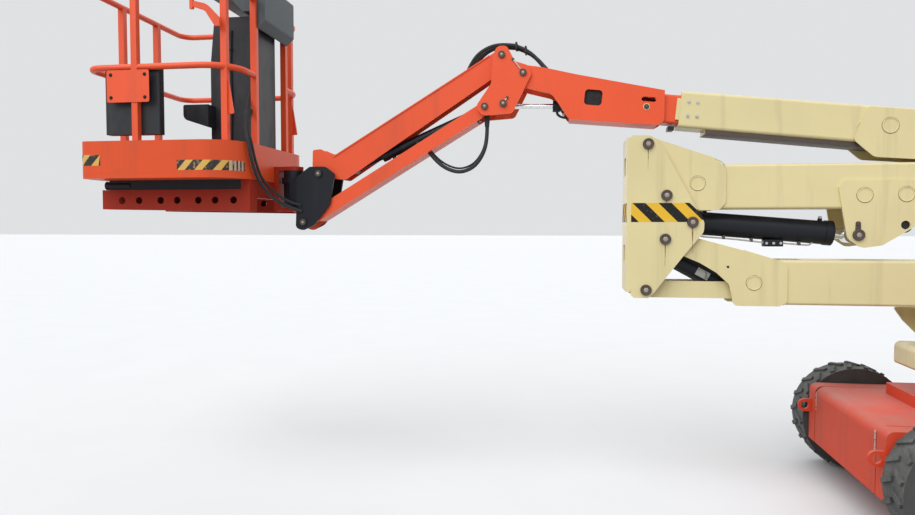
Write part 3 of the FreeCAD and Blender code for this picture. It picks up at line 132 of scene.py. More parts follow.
def paint(name, colour, dust=(0.42, 0.38, 0.33), grime=(0.10, 0.075, 0.05), dusty=0.25, rough=0.42, chips=0.5,
          film_scale=6.0, tops=0.55, gloss=0.5):
    """Sprayed enamel: slight fading, dust on upward faces, runs of grime and small rust chips."""
    n = Net(name)
    fade = n.ramp(n.noise(1.3, 3), 0.3, 0.7)
    base = n.mix(fade, shade(colour, 0.93), shade(colour, 1.06))
    runs = n.ramp(n.noise(9.0, 5, stretch=(1, 1, 0.08)), 0.55, 0.8)
    base = n.mix(n.math("MULTIPLY", runs, 0.28), base, rgba(grime))
    up = n.add("SeparateXYZ", {0: n.coord.outputs["Normal"]}).outputs[2]
    top = n.ramp(up, 0.35, 0.95)
    patch = n.ramp(n.noise(film_scale, 6), 0.25, 0.7)
    film = n.math("ADD", n.math("MULTIPLY", n.math("MULTIPLY", top, patch), tops + dusty),
                  n.math("MULTIPLY", n.ramp(n.noise(14.0, 8, 0.65), 0.5, 0.85), dusty))
    base = n.mix(film, base, rgba(dust))
    chip = n.ramp(n.noise(70.0, 6, 0.7), 0.735, 0.75)
    near = n.ramp(n.noise(3.0, 2), 0.5, 0.62)
    chip = n.math("MULTIPLY", n.math("MULTIPLY", chip, near), chips)
    base = n.mix(chip, base, (0.10, 0.045, 0.02, 1))
    n.set("Base Color", base)
    n.set("Roughness", n.math("ADD", rough, n.math("MULTIPLY", film, 0.35)))
    n.set("Specular IOR Level", gloss)
    n.bump(n.math("ADD", n.math("MULTIPLY", n.noise(160.0, 2), 0.4), n.math("MULTIPLY", chip, -1.5)), 0.12, 0.0006)
    n.mat.diffuse_color = rgba(colour)
    return n.mat


def metal(name, colour, rough=0.28, rust=0.0, scale=40.0):
    """Bare or plated steel with fine scratches and, where worn, rust."""
    n = Net(name)
    scratch = n.noise(scale, 6, 0.6, stretch=(1, 0.15, 1))
    base = n.mix(n.ramp(scratch, 0.3, 0.7), shade(colour, 0.85), shade(colour, 1.08))
    spots = n.ramp(n.noise(26.0, 6, 0.7), 0.62 - 0.3 * rust, 0.75 - 0.2 * rust)
    base = n.mix(n.math("MULTIPLY", spots, 0.25 + 0.75 * rust), base, (0.13, 0.06, 0.03, 1))
    n.set("Base Color", base)
    n.set("Metallic", 0.9 if rust < 0.2 else 0.35)
    n.set("Roughness", n.ramp(scratch, 0.2, 0.8, rough, rough + 0.18))
    n.bump(n.noise(120.0, 3), 0.1, 0.0005)
    return n.mat


def rubber(name, colour=(0.045, 0.045, 0.045), dust=(0.22, 0.215, 0.20), dusty=0.5, wall=1.0):
    """Worn rubber with dust caught in it."""
    n = Net(name)
    film = n.ramp(n.noise(7.0, 8, 0.7), 0.3, 0.75)
    fine = n.ramp(n.noise(55.0, 5, 0.7), 0.35, 0.7)
    side = n.math("ABSOLUTE", n.add("SeparateXYZ", {0: n.coord.outputs["Normal"]}).outputs[1])
    caught = n.math("MULTIPLY", dusty, n.ramp(side, 0.6, 0.95, 1.0, wall))
    base = n.mix(n.math("MULTIPLY", n.math("ADD", film, n.math("MULTIPLY", fine, 0.4)), caught), rgba(colour), rgba(dust))
    n.set("Base Color", base)
    n.set("Roughness", n.ramp(fine, 0, 1, 0.7, 0.92))
    n.bump(n.noise(180.0, 4), 0.25, 0.001)
    return n.mat


def plastic(name, colour, rough=0.5, mark=(0.30, 0.29, 0.27, 1), marked=0.35):
    """Moulded plastic with a fine grain and handling marks."""
    n = Net(name)
    marks = n.ramp(n.noise(12.0, 6, 0.7, stretch=(1, 1, 0.3)), 0.5, 0.8)
    base = n.mix(n.math("MULTIPLY", marks, marked), rgba(colour), mark)
    n.set("Base Color", base)
    n.set("Roughness", n.ramp(marks, 0, 1, rough, rough + 0.25))
    n.set("Specular IOR Level", 0.3)
    n.bump(n.noise(420.0, 2), 0.12, 0.0004)
    return n.mat


def worn_print(name, colour, under, wear=0.35):
    """Printed film or thin paint that is rubbed through in places to what is under it."""
    n = Net(name)
    rub = n.ramp(n.noise(38.0, 8, 0.75), 0.62 - 0.25 * wear, 0.66 - 0.22 * wear)
    fine = n.ramp(n.noise(140.0, 4, 0.7), 0.3, 0.7)
    base = n.mix(n.math("MULTIPLY", fine, 0.15), rgba(colour), shade(colour, 0.7))
    base = n.mix(n.math("MULTIPLY", rub, min(1.0, 0.5 + wear)), base, rgba(under))
    n.set("Base Color", base)
    n.set("Specular IOR Level", 0.25)
    n.set("Roughness", n.ramp(fine, 0, 1, 0.45, 0.7))
    n.bump(n.noise(220.0, 3), 0.1, 0.0003)
    return n.mat


def finish_of(s):
    return {
        "orange": lambda: paint("orange_enamel", s.orange, dust=(0.50, 0.17, 0.10), dusty=0.03, rough=0.40,
                                chips=0.3, tops=0.25, gloss=0.35),
        "toe": lambda: paint("toe_enamel", s.toe_orange, dust=(0.46, 0.18, 0.11), dusty=0.04, rough=0.45,
                             chips=0.5, tops=0.45, gloss=0.35),
        # Orange darkened as painted shade for the supports under the platform
        "under": lambda: paint("shaded_enamel", s.shaded_support_orange, dust=(0.22, 0.05, 0.03), dusty=0.04, rough=0.60,
                               chips=0.6, tops=0.3, gloss=0.25),
        "chassis": lambda: paint("chassis_enamel", s.chassis_orange, dust=(0.42, 0.27, 0.245), dusty=0.12, rough=0.58,
                                 film_scale=2.2, tops=0.72, gloss=0.3),
        "cream": lambda: paint("cream_enamel", s.cream, dust=(0.55, 0.49, 0.38), dusty=0.08, rough=0.38, chips=0.4),
        "black": lambda: paint("black_enamel", s.black, dust=(0.07, 0.07, 0.075), dusty=0.03, rough=0.42,
                               chips=0.15, tops=0.15, gloss=0.25),
        "chrome": lambda: metal("rod_chrome", (0.78, 0.79, 0.80), 0.12),
        "zinc": lambda: metal("zinc_plate", (0.52, 0.50, 0.47), 0.32, 0.1),
        "steel": lambda: metal("worn_steel", (0.085, 0.068, 0.056), 0.50, 0.35),
        "worn": lambda: metal("rubbed_steel", (0.36, 0.30, 0.26), 0.40, 0.25),
        "cast": lambda: metal("cast_iron", (0.10, 0.095, 0.09), 0.55, 0.6),
        "tyre": lambda: rubber("tyre_rubber", (0.028, 0.028, 0.030), (0.17, 0.175, 0.165), 0.8, 0.3),
        "hose": lambda: rubber("hose_rubber", (0.014, 0.014, 0.016), (0.06, 0.06, 0.065), 0.3),
        # Near-black painted shade, laid in the fly nose window, the chassis grooves and an opening of the upper arm
        "painted_shade": lambda: rubber("painted_shade_sheet", (0.006, 0.006, 0.007), (0.02, 0.02, 0.02), 0.3),
        "stain": lambda: worn_print("rust_run", (0.20, 0.12, 0.07), (0.50, 0.40, 0.22), 0.45),
        "rim": lambda: paint("rim_enamel", s.cream, dust=(0.34, 0.31, 0.27), dusty=0.5, rough=0.55),
        "plastic": lambda: plastic("console_plastic", s.console),
        "black_plastic": lambda: plastic("black_plastic", (0.020, 0.022, 0.026), 0.42, (0.10, 0.10, 0.105, 1)),
        "yellow": lambda: worn_print("hazard_yellow", (0.84, 0.50, 0.035), (0.62, 0.52, 0.28), 0.15),
        # Black of the hazard print, also laid as painted shade in a drain hole and over the hood louvres
        "dark": lambda: worn_print("hazard_black_and_painted_shade", (0.009, 0.008, 0.008), (0.20, 0.17, 0.12), 0.06),
        "toe_yellow": lambda: worn_print("toe_yellow", (0.74, 0.44, 0.09), (0.60, 0.40, 0.20), 0.45),
        "toe_dark": lambda: worn_print("toe_black", (0.035, 0.030, 0.026), (0.45, 0.30, 0.16), 0.30),
        "pale": lambda: worn_print("rubbed_film", (0.52, 0.42, 0.32), (0.40, 0.16, 0.09), 0.25),
        "label": lambda: worn_print("grey_label", (0.46, 0.47, 0.44), (0.08, 0.085, 0.09), 0.28),
        "red": lambda: plastic("signal_red", (0.55, 0.02, 0.015), 0.35),
        "green": lambda: plastic("signal_green", (0.02, 0.22, 0.05), 0.35),
        "knob": lambda: rubber("knob_rubber", (0.02, 0.02, 0.02), (0.12, 0.12, 0.12), 0.3),
        "bead": lambda: paint("bead_enamel", s.cream, dust=(0.50, 0.44, 0.34), dusty=0.05, rough=0.45, chips=0.8),
        "bare": lambda: worn_print("bared_primer", (0.62, 0.50, 0.46), (0.34, 0.20, 0.17), 0.3),
    }


FINISH = {}


def finish(key):
    if key not in FINISH:
        FINISH[key] = finish_of(bpy.context.scene.lift)[key]()
    return FINISH[key]


NODE_FINISH = [
    ("tyre", "tyre"), ("rim", "rim"), ("jib_lift_rod", "black"), ("_rod", "chrome"), ("_barrel", "black"), ("jib_head", "black"),
    ("slew_ring", "cast"), ("drive_axle", "black"), ("platform_support", "under"), ("floor_bearers", "black"),
    ("steer_axle", "cast"), ("knuckle", "cast"), ("counterweight", "cast"), ("chassis", "chassis"),
    ("hood_floor", "cream"), ("hood", "chassis"), ("rail_plate", "orange"), ("gate_latch", "zinc"),
    ("document_box", "black_plastic"), ("console_stand", "black_plastic"), ("fly_boom", "orange"), ("elbow", "orange"),
    ("jib_", "orange"), ("platform_floor", "toe"), ("toe_board", "toe"), ("platform_", "orange"), ("console", "plastic"),
]


# Mesh building blocks

class Form:
    """Closed solids gathered into one mesh, each with its own finish."""

    def __init__(self):
        self.mesh = bmesh.new()
        self.finishes = []

    def take(self, part, key, at=None):
        if key not in self.finishes:
            self.finishes.append(key)
        if at is not None:
            bmesh.ops.transform(part, matrix=at, verts=part.verts)
            if at.determinant() < 0:
                bmesh.ops.reverse_faces(part, faces=part.faces)
        for f in part.faces:
            f.material_index = self.finishes.index(key)
        data = bpy.data.meshes.new("part")
        part.to_mesh(data)
        part.free()
        self.mesh.from_mesh(data)
        bpy.data.meshes.remove(data)

    def block(self, low, high, key, edge=0.002, at=None):
        """Box between two corners with eased edges."""
        part = bmesh.new()
        bmesh.ops.create_cube(part, size=1)
        size = [max(b - a, 1e-5) for a, b in zip(low, high)]
        bmesh.ops.transform(part, verts=part.verts, matrix=Matrix.Translation([(a + b) / 2 for a, b in zip(low, high)])
                            @ Matrix.Diagonal((*size, 1)))
        edge = min(edge, min(size) * 0.45)
        bmesh.ops.bevel(part, geom=part.edges[:], offset=edge, segments=2, profile=0.6, affect="EDGES")
        self.take(part, key, at)

    def turned(self, profile, key, at=None, sides=32):
        """Solid of revolution about Z from (radius, height) pairs; the ends close on the axis."""
        part = bmesh.new()
        rings = []
        closed = profile[0] == profile[-1] and profile[0][0] > 0
        for r, h in profile[:-1] if closed else profile:
            if r < 1e-6:
                rings.append([part.verts.new((0, 0, h))])
            else:
                rings.append([part.verts.new((r * math.cos(2 * math.pi * i / sides), r * math.sin(2 * math.pi * i / sides), h))
                              for i in range(sides)])
        for low, high in zip(rings, rings[1:] + (rings[:1] if closed else [])):
            for i in range(sides):
                j = (i + 1) % sides
                quad = [low[i % len(low)], low[j % len(low)], high[j % len(high)], high[i % len(high)]]
                quad = [v for k, v in enumerate(quad) if v not in quad[:k]]
                part.faces.new(quad)
        for ring, flip in ((rings[0], True), (rings[-1], False)):
            if len(ring) > 1 and not closed:
                part.faces.new(list(reversed(ring)) if flip else ring)
        bmesh.ops.recalc_face_normals(part, faces=part.faces)
        self.take(part, key, at)

    def plate(self, corners, thick, key, at=None, edge=0.0):
        """Flat plate in the XY plane with the given outline, from height 0 up to its thickness."""
        part = bmesh.new()
        low = [part.verts.new((x, y, 0)) for x, y in corners]
        high = [part.verts.new((x, y, thick)) for x, y in corners]
        count = len(corners)
        part.faces.new(list(reversed(low)))
        part.faces.new(high)
        for i in range(count):
            j = (i + 1) % count
            part.faces.new((low[i], low[j], high[j], high[i]))
        bmesh.ops.recalc_face_normals(part, faces=part.faces)
        if edge:
            rim = [e for e in part.edges if all(v.co.z > thick / 2 for v in e.verts)]
            bmesh.ops.bevel(part, geom=rim, offset=edge, segments=2, profile=0.6, affect="EDGES")
        self.take(part, key, at)

    def sweep(self, line, radius, key, sides=12, closed=False):
        """Round bar along a line of places, with flat ends."""
        part = bmesh.new()
        line = [Vector(p) for p in line]
        ways = []
        for i, p in enumerate(line):
            a = line[i - 1] if i or closed else p
            b = line[(i + 1) % len(line)] if i + 1 < len(line) or closed else p
            ways.append((b - a).normalized())
        side = ways[0].orthogonal().normalized()
        rings = []
        for p, way in zip(line, ways):
            side = (side - way * side.dot(way)).normalized()
            other = way.cross(side)
            rings.append([part.verts.new(p + radius * (math.cos(t) * side + math.sin(t) * other))
                          for t in (2 * math.pi * k / sides for k in range(sides))])
        pairs = list(zip(rings, rings[1:])) + ([(rings[-1], rings[0])] if closed else [])
        for low, high in pairs:
            for k in range(sides):
                m = (k + 1) % sides
                part.faces.new((low[k], low[m], high[m], high[k]))
        if not closed:
            part.faces.new(list(reversed(rings[0])))
            part.faces.new(rings[-1])
        bmesh.ops.recalc_face_normals(part, faces=part.faces)
        self.take(part, key)

    def done(self, name, body, slot, smooth=35.0):
        """The finished piece, riding on a body."""
        data = bpy.data.meshes.new(name)
        self.mesh.to_mesh(data)
        self.mesh.free()
        for key in self.finishes:
            data.materials.append(finish(key))
        data.polygons.foreach_set("use_smooth", [True] * len(data.polygons))
        data.set_sharp_from_angle(angle=math.radians(smooth))
        obj = bpy.data.objects.new(name, data)
        bpy.context.scene.collection.objects.link(obj)
        if body:
            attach(obj, body)
        return obj


def side_of(x, y, z, sign):
    """Placement of a plate or a turned part on a side plane: its height looks outwards along Y."""
    turn = Matrix(((1, 0, 0), (0, 0, sign), (0, 1, 0))).to_4x4()
    return Matrix.Translation((x, y * sign, z)) @ turn


def facing(place, way):
    """Placement of a turned part whose axis looks along the given direction."""
    return Matrix.Translation(place) @ Vector((0, 0, 1)).rotation_difference(Vector(way).normalized()).to_matrix().to_4x4()


def line_of(points, steps=10):
    """A smooth line led by the points."""
    data = bpy.data.curves.new("line", "CURVE")
    data.dimensions = "3D"
    spline = data.splines.new("NURBS")
    spline.points.add(len(points) - 1)
    for point, place in zip(spline.points, points):
        point.co = (*place, 1)
    spline.order_u = 3
    spline.use_endpoint_u = True
    spline.resolution_u = steps
    obj = bpy.data.objects.new("line", data)
    mesh = bpy.data.meshes.new_from_object(obj)
    line = [v.co.copy() for v in mesh.vertices]
    bpy.data.meshes.remove(mesh)
    bpy.data.objects.remove(obj)
    bpy.data.curves.remove(data)
    return line


def ringed(r, h0, h1, key, form, at, sides=36):
    """Turned head: a skirt, an eased rim, a sunk ring in its face and a worn hexagon in the middle."""
    form.turned([(0, h0), (r, h0), (r, h1 - 0.0020), (r - 0.0020, h1), (r * 0.74, h1), (r * 0.68, h1 - 0.0020),
                 (0, h1 - 0.0020)], key, at, sides)
    form.turned([(0, h1 - 0.0022), (r * 0.46, h1 - 0.0022), (r * 0.46, h1 - 0.0004), (r * 0.38, h1 + 0.0006),
                 (0, h1 + 0.0006)], "worn", at, 6)


def hexagon(r, h, key, form, at):
    """Bolt head with a washer under it."""
    form.turned([(0, 0), (r * 1.45, 0), (r * 1.45, h * 0.22), (0, h * 0.22)], key, at, 20)
    form.turned([(0, h * 0.2), (r, h * 0.2), (r, h * 0.88), (r * 0.86, h), (0, h)], key, at, 6)


class LiftSettings(bpy.types.PropertyGroup):
    orange: bpy.props.FloatVectorProperty(name="Orange", description="Enamel of the jib, fly and rails",
                                          subtype="COLOR", size=3, min=0, max=1, default=(0.83, 0.098, 0.030))
    toe_orange: bpy.props.FloatVectorProperty(name="Toe-board orange", description="Older enamel of the toe-board",
                                              subtype="COLOR", size=3, min=0, max=1, default=(0.72, 0.078, 0.014))
    # Darker copy of the orange for the supports under the platform: painted shade
    shaded_support_orange: bpy.props.FloatVectorProperty(name="Support orange in painted shade", description="Orange enamel darkened as painted shade under the platform",
                                             subtype="COLOR", size=3, min=0, max=1, default=(0.33, 0.022, 0.007))
    chassis_orange: bpy.props.FloatVectorProperty(name="Chassis orange", description="Dusty enamel of the chassis",
                                                  subtype="COLOR", size=3, min=0, max=1, default=(0.66, 0.062, 0.022))
    cream: bpy.props.FloatVectorProperty(name="Cream", description="Enamel of the tower, main boom and turntable",
                                         subtype="COLOR", size=3, min=0, max=1, default=(0.735, 0.635, 0.335))
    black: bpy.props.FloatVectorProperty(name="Black", description="Enamel of the cylinders",
                                         subtype="COLOR", size=3, min=0, max=1, default=(0.007, 0.009, 0.014))
    console: bpy.props.FloatVectorProperty(name="Console", description="Plastic of the control console",
                                           subtype="COLOR", size=3, min=0, max=1, default=(0.062, 0.080, 0.088))
    lens: bpy.props.FloatProperty(name="Lens", description="Focal length of the camera in millimetres",
                                  default=28.525, min=1)
    floor_size: bpy.props.FloatProperty(name="Floor", description="Side of the studio floor", default=240.0,
                                        subtype="DISTANCE", unit="LENGTH")
    stripe: bpy.props.FloatProperty(name="Stripe", description="Pitch of the hazard stripes on the uprights",
                                    default=0.150, subtype="DISTANCE", unit="LENGTH")
    hose: bpy.props.FloatProperty(name="Hose", description="Outside diameter of the boom hoses", default=0.021,
                                  subtype="DISTANCE", unit="LENGTH")
    stud_pitch: bpy.props.FloatProperty(name="Tread pitch", description="Pitch of the raised studs on the platform floor",
                                        default=0.036, subtype="DISTANCE", unit="LENGTH")


class LIFT_OT_finishes(bpy.types.Operator):
    """Give every solid its enamel, metal, rubber or plastic"""
    bl_idname = "lift.finishes"
    bl_label = "Finishes"

    def execute(self, context):
        for name, obj in NODES.items():
            key = next((f for word, f in NODE_FINISH if word in name), "cream")
            obj.data.materials.clear()
            obj.data.materials.append(finish(key))
        return {"FINISHED"}


# Pin heads: body, pins (x, z), face plane, head height, radius
PIN_HEADS = [
    ("front_upright", (P1, P2, P3, P4, P5), CHEEK, 0.0155, 0.0325),
    ("rear_upright", (Q1, Q2, R1, C1), CHEEK, 0.0155, 0.0325),
    ("turntable", (Q4, Q5), CHEEK, 0.0155, 0.0325),
    ("upper_arm", (ROD,), GUSSET, 0.0155, 0.0325),
    ("main_boom", (C2,), SKIRT, 0.0085, 0.0235),
    ("fly_boom", (E,), 0.1181, 0.0115, 0.0215),
    ("elbow", (A, B), ELBOW, 0.0115, 0.0215),
    ("elbow", (E2,), ELBOW, 0.0155, 0.0215),
    ("jib_head", (C, D), 0.1083, 0.0072, 0.0205),
    ("lower_link", (W,), 0.092, 0.0155, 0.0220),
]

# Runs of rust below the pins: body, pin (x, z), length, width
RUNS = [("front_upright", P1, 0.120, 0.006), ("front_upright", P2, 0.105, 0.008), ("front_upright", P3, 0.150, 0.010),
        ("front_upright", P4, 0.130, 0.007), ("rear_upright", Q1, 0.110, 0.007), ("rear_upright", Q2, 0.140, 0.008),
        ("turntable", Q4, 0.120, 0.007)]


class LIFT_OT_pins(bpy.types.Operator):
    """Worn heads with a ring in the face, keeper bars and the small bolts that hold them"""
    bl_idname = "lift.pins"
    bl_label = "Pin heads and keepers"

    def execute(self, context):
        made = {}
        for body, pins, face, rise, r in PIN_HEADS:
            form = made.setdefault(body, Form())
            for x, z in pins:
                for sign in (-1, 1):
                    ringed(r, 0.0002, rise, "steel", form, side_of(x, face, z, sign))
        for body, (x, z), reach, wide in RUNS:
            for sign in (-1, 1):
                form = made[body]
                edge = [(wide * (0.42 + 0.08 * math.sin(5.3 * t) - 0.30 * t), -0.030 - reach * t) for t in (k / 8 for k in range(9))]
                back = [(-wide * (0.42 + 0.08 * math.cos(6.1 * t) - 0.30 * t), -0.030 - reach * t) for t in (1 - k / 8 for k in range(9))]
                form.plate(edge + back, 0.0003, "stain", side_of(x, CHEEK, z, sign))
        for sign in (-1, 1):
            form = made["upper_arm"]
            place = side_of(ROD[0] - 0.003, GUSSET, ROD[1], sign)
            form.plate([(-0.016, 0), (0.016, 0), (0.014, 0.070), (0.008, 0.078), (-0.008, 0.078), (-0.014, 0.070)], 0.004,
                       "steel", place, 0.001)
            hexagon(0.0075, 0.008, "steel", form, side_of(ROD[0] - 0.003, GUSSET + 0.004, ROD[1] + 0.062, sign))
        for sign in (-1, 1):
            form = made["elbow"]
            form.sweep([(-1.0360, sign * 0.1225, 2.6790), (-0.9930, sign * 0.1225, 2.6230)], 0.0040, "zinc", 10)
            hexagon(0.0065, 0.009, "steel", form, side_of(-1.0385, ELBOW, 2.6820, sign))
            form.sweep([(-1.0760, sign * 0.1225, 2.4480), (-1.0890, sign * 0.1225, 2.4300)], 0.0040, "zinc", 10)
            hexagon(0.0065, 0.009, "steel", form, side_of(-1.0735, ELBOW, 2.4510, sign))
        for body, form in made.items():
            form.done("pins_" + body, body, "cast")
        return {"FINISHED"}


def clipped(poly, low, high):
    """Part of a polygon between two slanted lines x + z = low and x + z = high."""
    for sign, limit in ((1, low), (-1, -high)):
        out = []
        for i, p in enumerate(poly):
            q = poly[(i + 1) % len(poly)]
            dp, dq = sign * (p[0] + p[1]) - limit, sign * (q[0] + q[1]) - limit
            if dp >= 0:
                out.append(p)
            if (dp > 0) != (dq > 0) and abs(dp - dq) > 1e-9:
                t = dp / (dp - dq)
                out.append((p[0] + t * (q[0] - p[0]), p[1] + t * (q[1] - p[1])))
        poly = out
        if len(poly) < 3:
            return []
    return poly


# Hazard band of the front upright: outline on the cheek (x, z)
BAND = [(-0.3285, 1.8020), (0.0060, 1.8020), (0.0660, 1.7450), (0.0860, 1.7160), (0.0800, 1.6980), (0.0640, 1.6890),
        (-0.3285, 1.6890)]

# Toe-board: flat sides at +-0.610, corner radii at the boom end 0.240 and at the outer end 0.060
TOE = dict(left=-3.6112, right=-2.6112, half=0.610, near=0.240, far=0.060)


def toe_place(s, z, sign, out=0.0):
    """Place on the toe-board's outer face: s runs along X on the flat side and then round either corner."""
    a, b = TOE["right"] - TOE["near"], TOE["left"] + TOE["far"]
    if s > a:
        t = min((s - a) / TOE["near"], math.pi / 2)
        r = TOE["near"] + out
        x, y = a + r * math.sin(t), TOE["half"] - TOE["near"] + r * math.cos(t)
    elif s < b:
        t = min((b - s) / TOE["far"], math.pi / 2)
        r = TOE["far"] + out
        x, y = b - r * math.sin(t), TOE["half"] - TOE["far"] + r * math.cos(t)
        if (b - s) / TOE["far"] > math.pi / 2:
            y -= (b - s) - TOE["far"] * math.pi / 2
            x = TOE["left"] - out
    else:
        x, y = s, TOE["half"] + out
    return Vector((x, y * sign, z))


def wrapped(form, poly, key, sign, out=0.0005):
    """Thin film with the outline poly (s, z), laid round the toe-board."""
    part = bmesh.new()
    steps = 44
    lows = sorted(set(p[0] for p in poly))
    cuts = [lows[0] + (lows[-1] - lows[0]) * i / steps for i in range(steps + 1)]
    for s0, s1 in zip(cuts, cuts[1:]):
        strip = poly
        for way, limit in ((1, s0), (-1, -s1)):
            kept = []
            for i, p in enumerate(strip):
                q = strip[(i + 1) % len(strip)]
                dp, dq = way * p[0] - limit, way * q[0] - limit
                if dp >= 0:
                    kept.append(p)
                if (dp > 0) != (dq > 0) and abs(dp - dq) > 1e-9:
                    t = dp / (dp - dq)
                    kept.append((p[0] + t * (q[0] - p[0]), p[1] + t * (q[1] - p[1])))
            strip = kept
            if len(strip) < 3:
                break
        if len(strip) < 3:
            continue
        low = [part.verts.new(toe_place(s, z, sign, -0.0004)) for s, z in strip]
        high = [part.verts.new(toe_place(s, z, sign, out)) for s, z in strip]
        count = len(strip)
        part.faces.new(list(reversed(low)))
        part.faces.new(high)
        for i in range(count):
            j = (i + 1) % count
            part.faces.new((low[i], low[j], high[j], high[i]))
    bmesh.ops.remove_doubles(part, verts=part.verts, dist=0.00002)
    inner = [f for f in part.faces if all(len(e.link_faces) > 2 for e in f.edges)]
    if inner:
        bmesh.ops.delete(part, geom=inner, context="FACES")
    bmesh.ops.recalc_face_normals(part, faces=part.faces)
    form.take(part, key)


class LIFT_OT_bands(bpy.types.Operator):
    """Yellow and black hazard bands on the front upright and the toe-board"""
    bl_idname = "lift.bands"
    bl_label = "Hazard bands"

    def execute(self, context):
        pitch = context.scene.lift.stripe
        form = Form()
        for sign in (-1, 1):
            place = side_of(0, CHEEK, 0, sign)
            form.plate(BAND, 0.0004, "yellow", place)
            low = -0.3285 + 1.6890 - 0.03
            for k in range(8):
                strip = clipped(BAND, low + k * pitch, low + (k + 0.5) * pitch)
                if strip:
                    form.plate(strip, 0.0008, "dark", place)
        face = Matrix(((0, 0, -1), (1, 0, 0), (0, 1, 0))).to_4x4()
        front = Matrix.Translation((-0.3543, 0, 0)) @ face
        outline = [(-0.159, 1.8020), (-0.159, 1.6890), (0.159, 1.6890), (0.159, 1.8020)]
        form.plate(outline, 0.0004, "yellow", front)
        for k in range(8):
            strip = clipped(outline, 1.50 + k * pitch, 1.50 + (k + 0.5) * pitch)
            if strip:
                form.plate(strip, 0.0008, "dark", front)
        form.done("band_upright", "front_upright", "cream_paint")
        form = Form()
        for sign in (-1, 1):
            for left, right, z0, z1, first, worn in ((-2.975, -2.560, 1.994, 2.053, 0, -2.665),
                                                     (-3.680, -3.466, 2.026, 2.090, 1, None)):
                wrapped(form, [(left, z0), (right, z0), (right, z1), (left, z1)], "toe_yellow", sign, 0.00025)
                high = z1 - z0
                s = left - high + first * 0.05
                while s < right:
                    poly = [(s, z0), (s + 0.060, z0), (s + 0.060 + high * 0.9, z1), (s + high * 0.9, z1)]
                    poly = [(min(max(p, left), worn if worn else right), q) for p, q in poly]
                    if max(p for p, q in poly) - min(p for p, q in poly) > 0.012:
                        wrapped(form, poly, "toe_dark", sign)
                    s += 0.108
                if worn:
                    s = worn + 0.008
                    while s < right - 0.012:
                        wrapped(form, [(s, z0), (s + 0.013, z0), (s + 0.013, z1), (s, z1)], "pale", sign)
                        wrapped(form, [(s + 0.013, z0), (s + 0.024, z0), (s + 0.024, z1), (s + 0.013, z1)],
                                "toe_dark", sign)
                        s += 0.025
        form.done("band_toe_board", "platform", "orange_paint")
        return {"FINISHED"}


# Pressed rings on the plates: body, (x, z), face plane, radius
RINGS = [
    ("upper_arm", (0.0560, 1.9180), GUSSET, 0.041), ("upper_arm", (0.9790, 1.8430), GUSSET, 0.041),
    ("upper_arm", (1.2010, 1.8470), GUSSET, 0.041), ("lower_arm", (0.3830, 1.3310), GUSSET, 0.041),
    ("main_boom", (1.1160, 2.2400), SKIRT, 0.043),
]

# Weld beads along plate edges: body, plane, bead radius, places (x, z)
BEADS = [
    ("upper_arm", 0.1205, 0.0035, [(0.120, 2.0790), (0.170, 2.0560), (0.2040, 2.0350), (0.2165, 2.0080), (0.2175, 1.8100),
                                  (0.2060, 1.7820), (0.1780, 1.7600), (0.060, 1.7585)]),
    ("lower_arm", 0.1205, 0.0035, [(0.3240, 1.5220), (0.5200, 1.4610), (0.5600, 1.4460), (0.5695, 1.4250), (0.5695, 1.2300),
                                  (0.5500, 1.2010)]),
    ("main_boom", 0.0985, 0.0030, [(1.010, 2.2950), (0.9350, 2.2600), (0.9420, 2.2000), (0.9800, 2.1550), (1.10, 2.10)]),
]


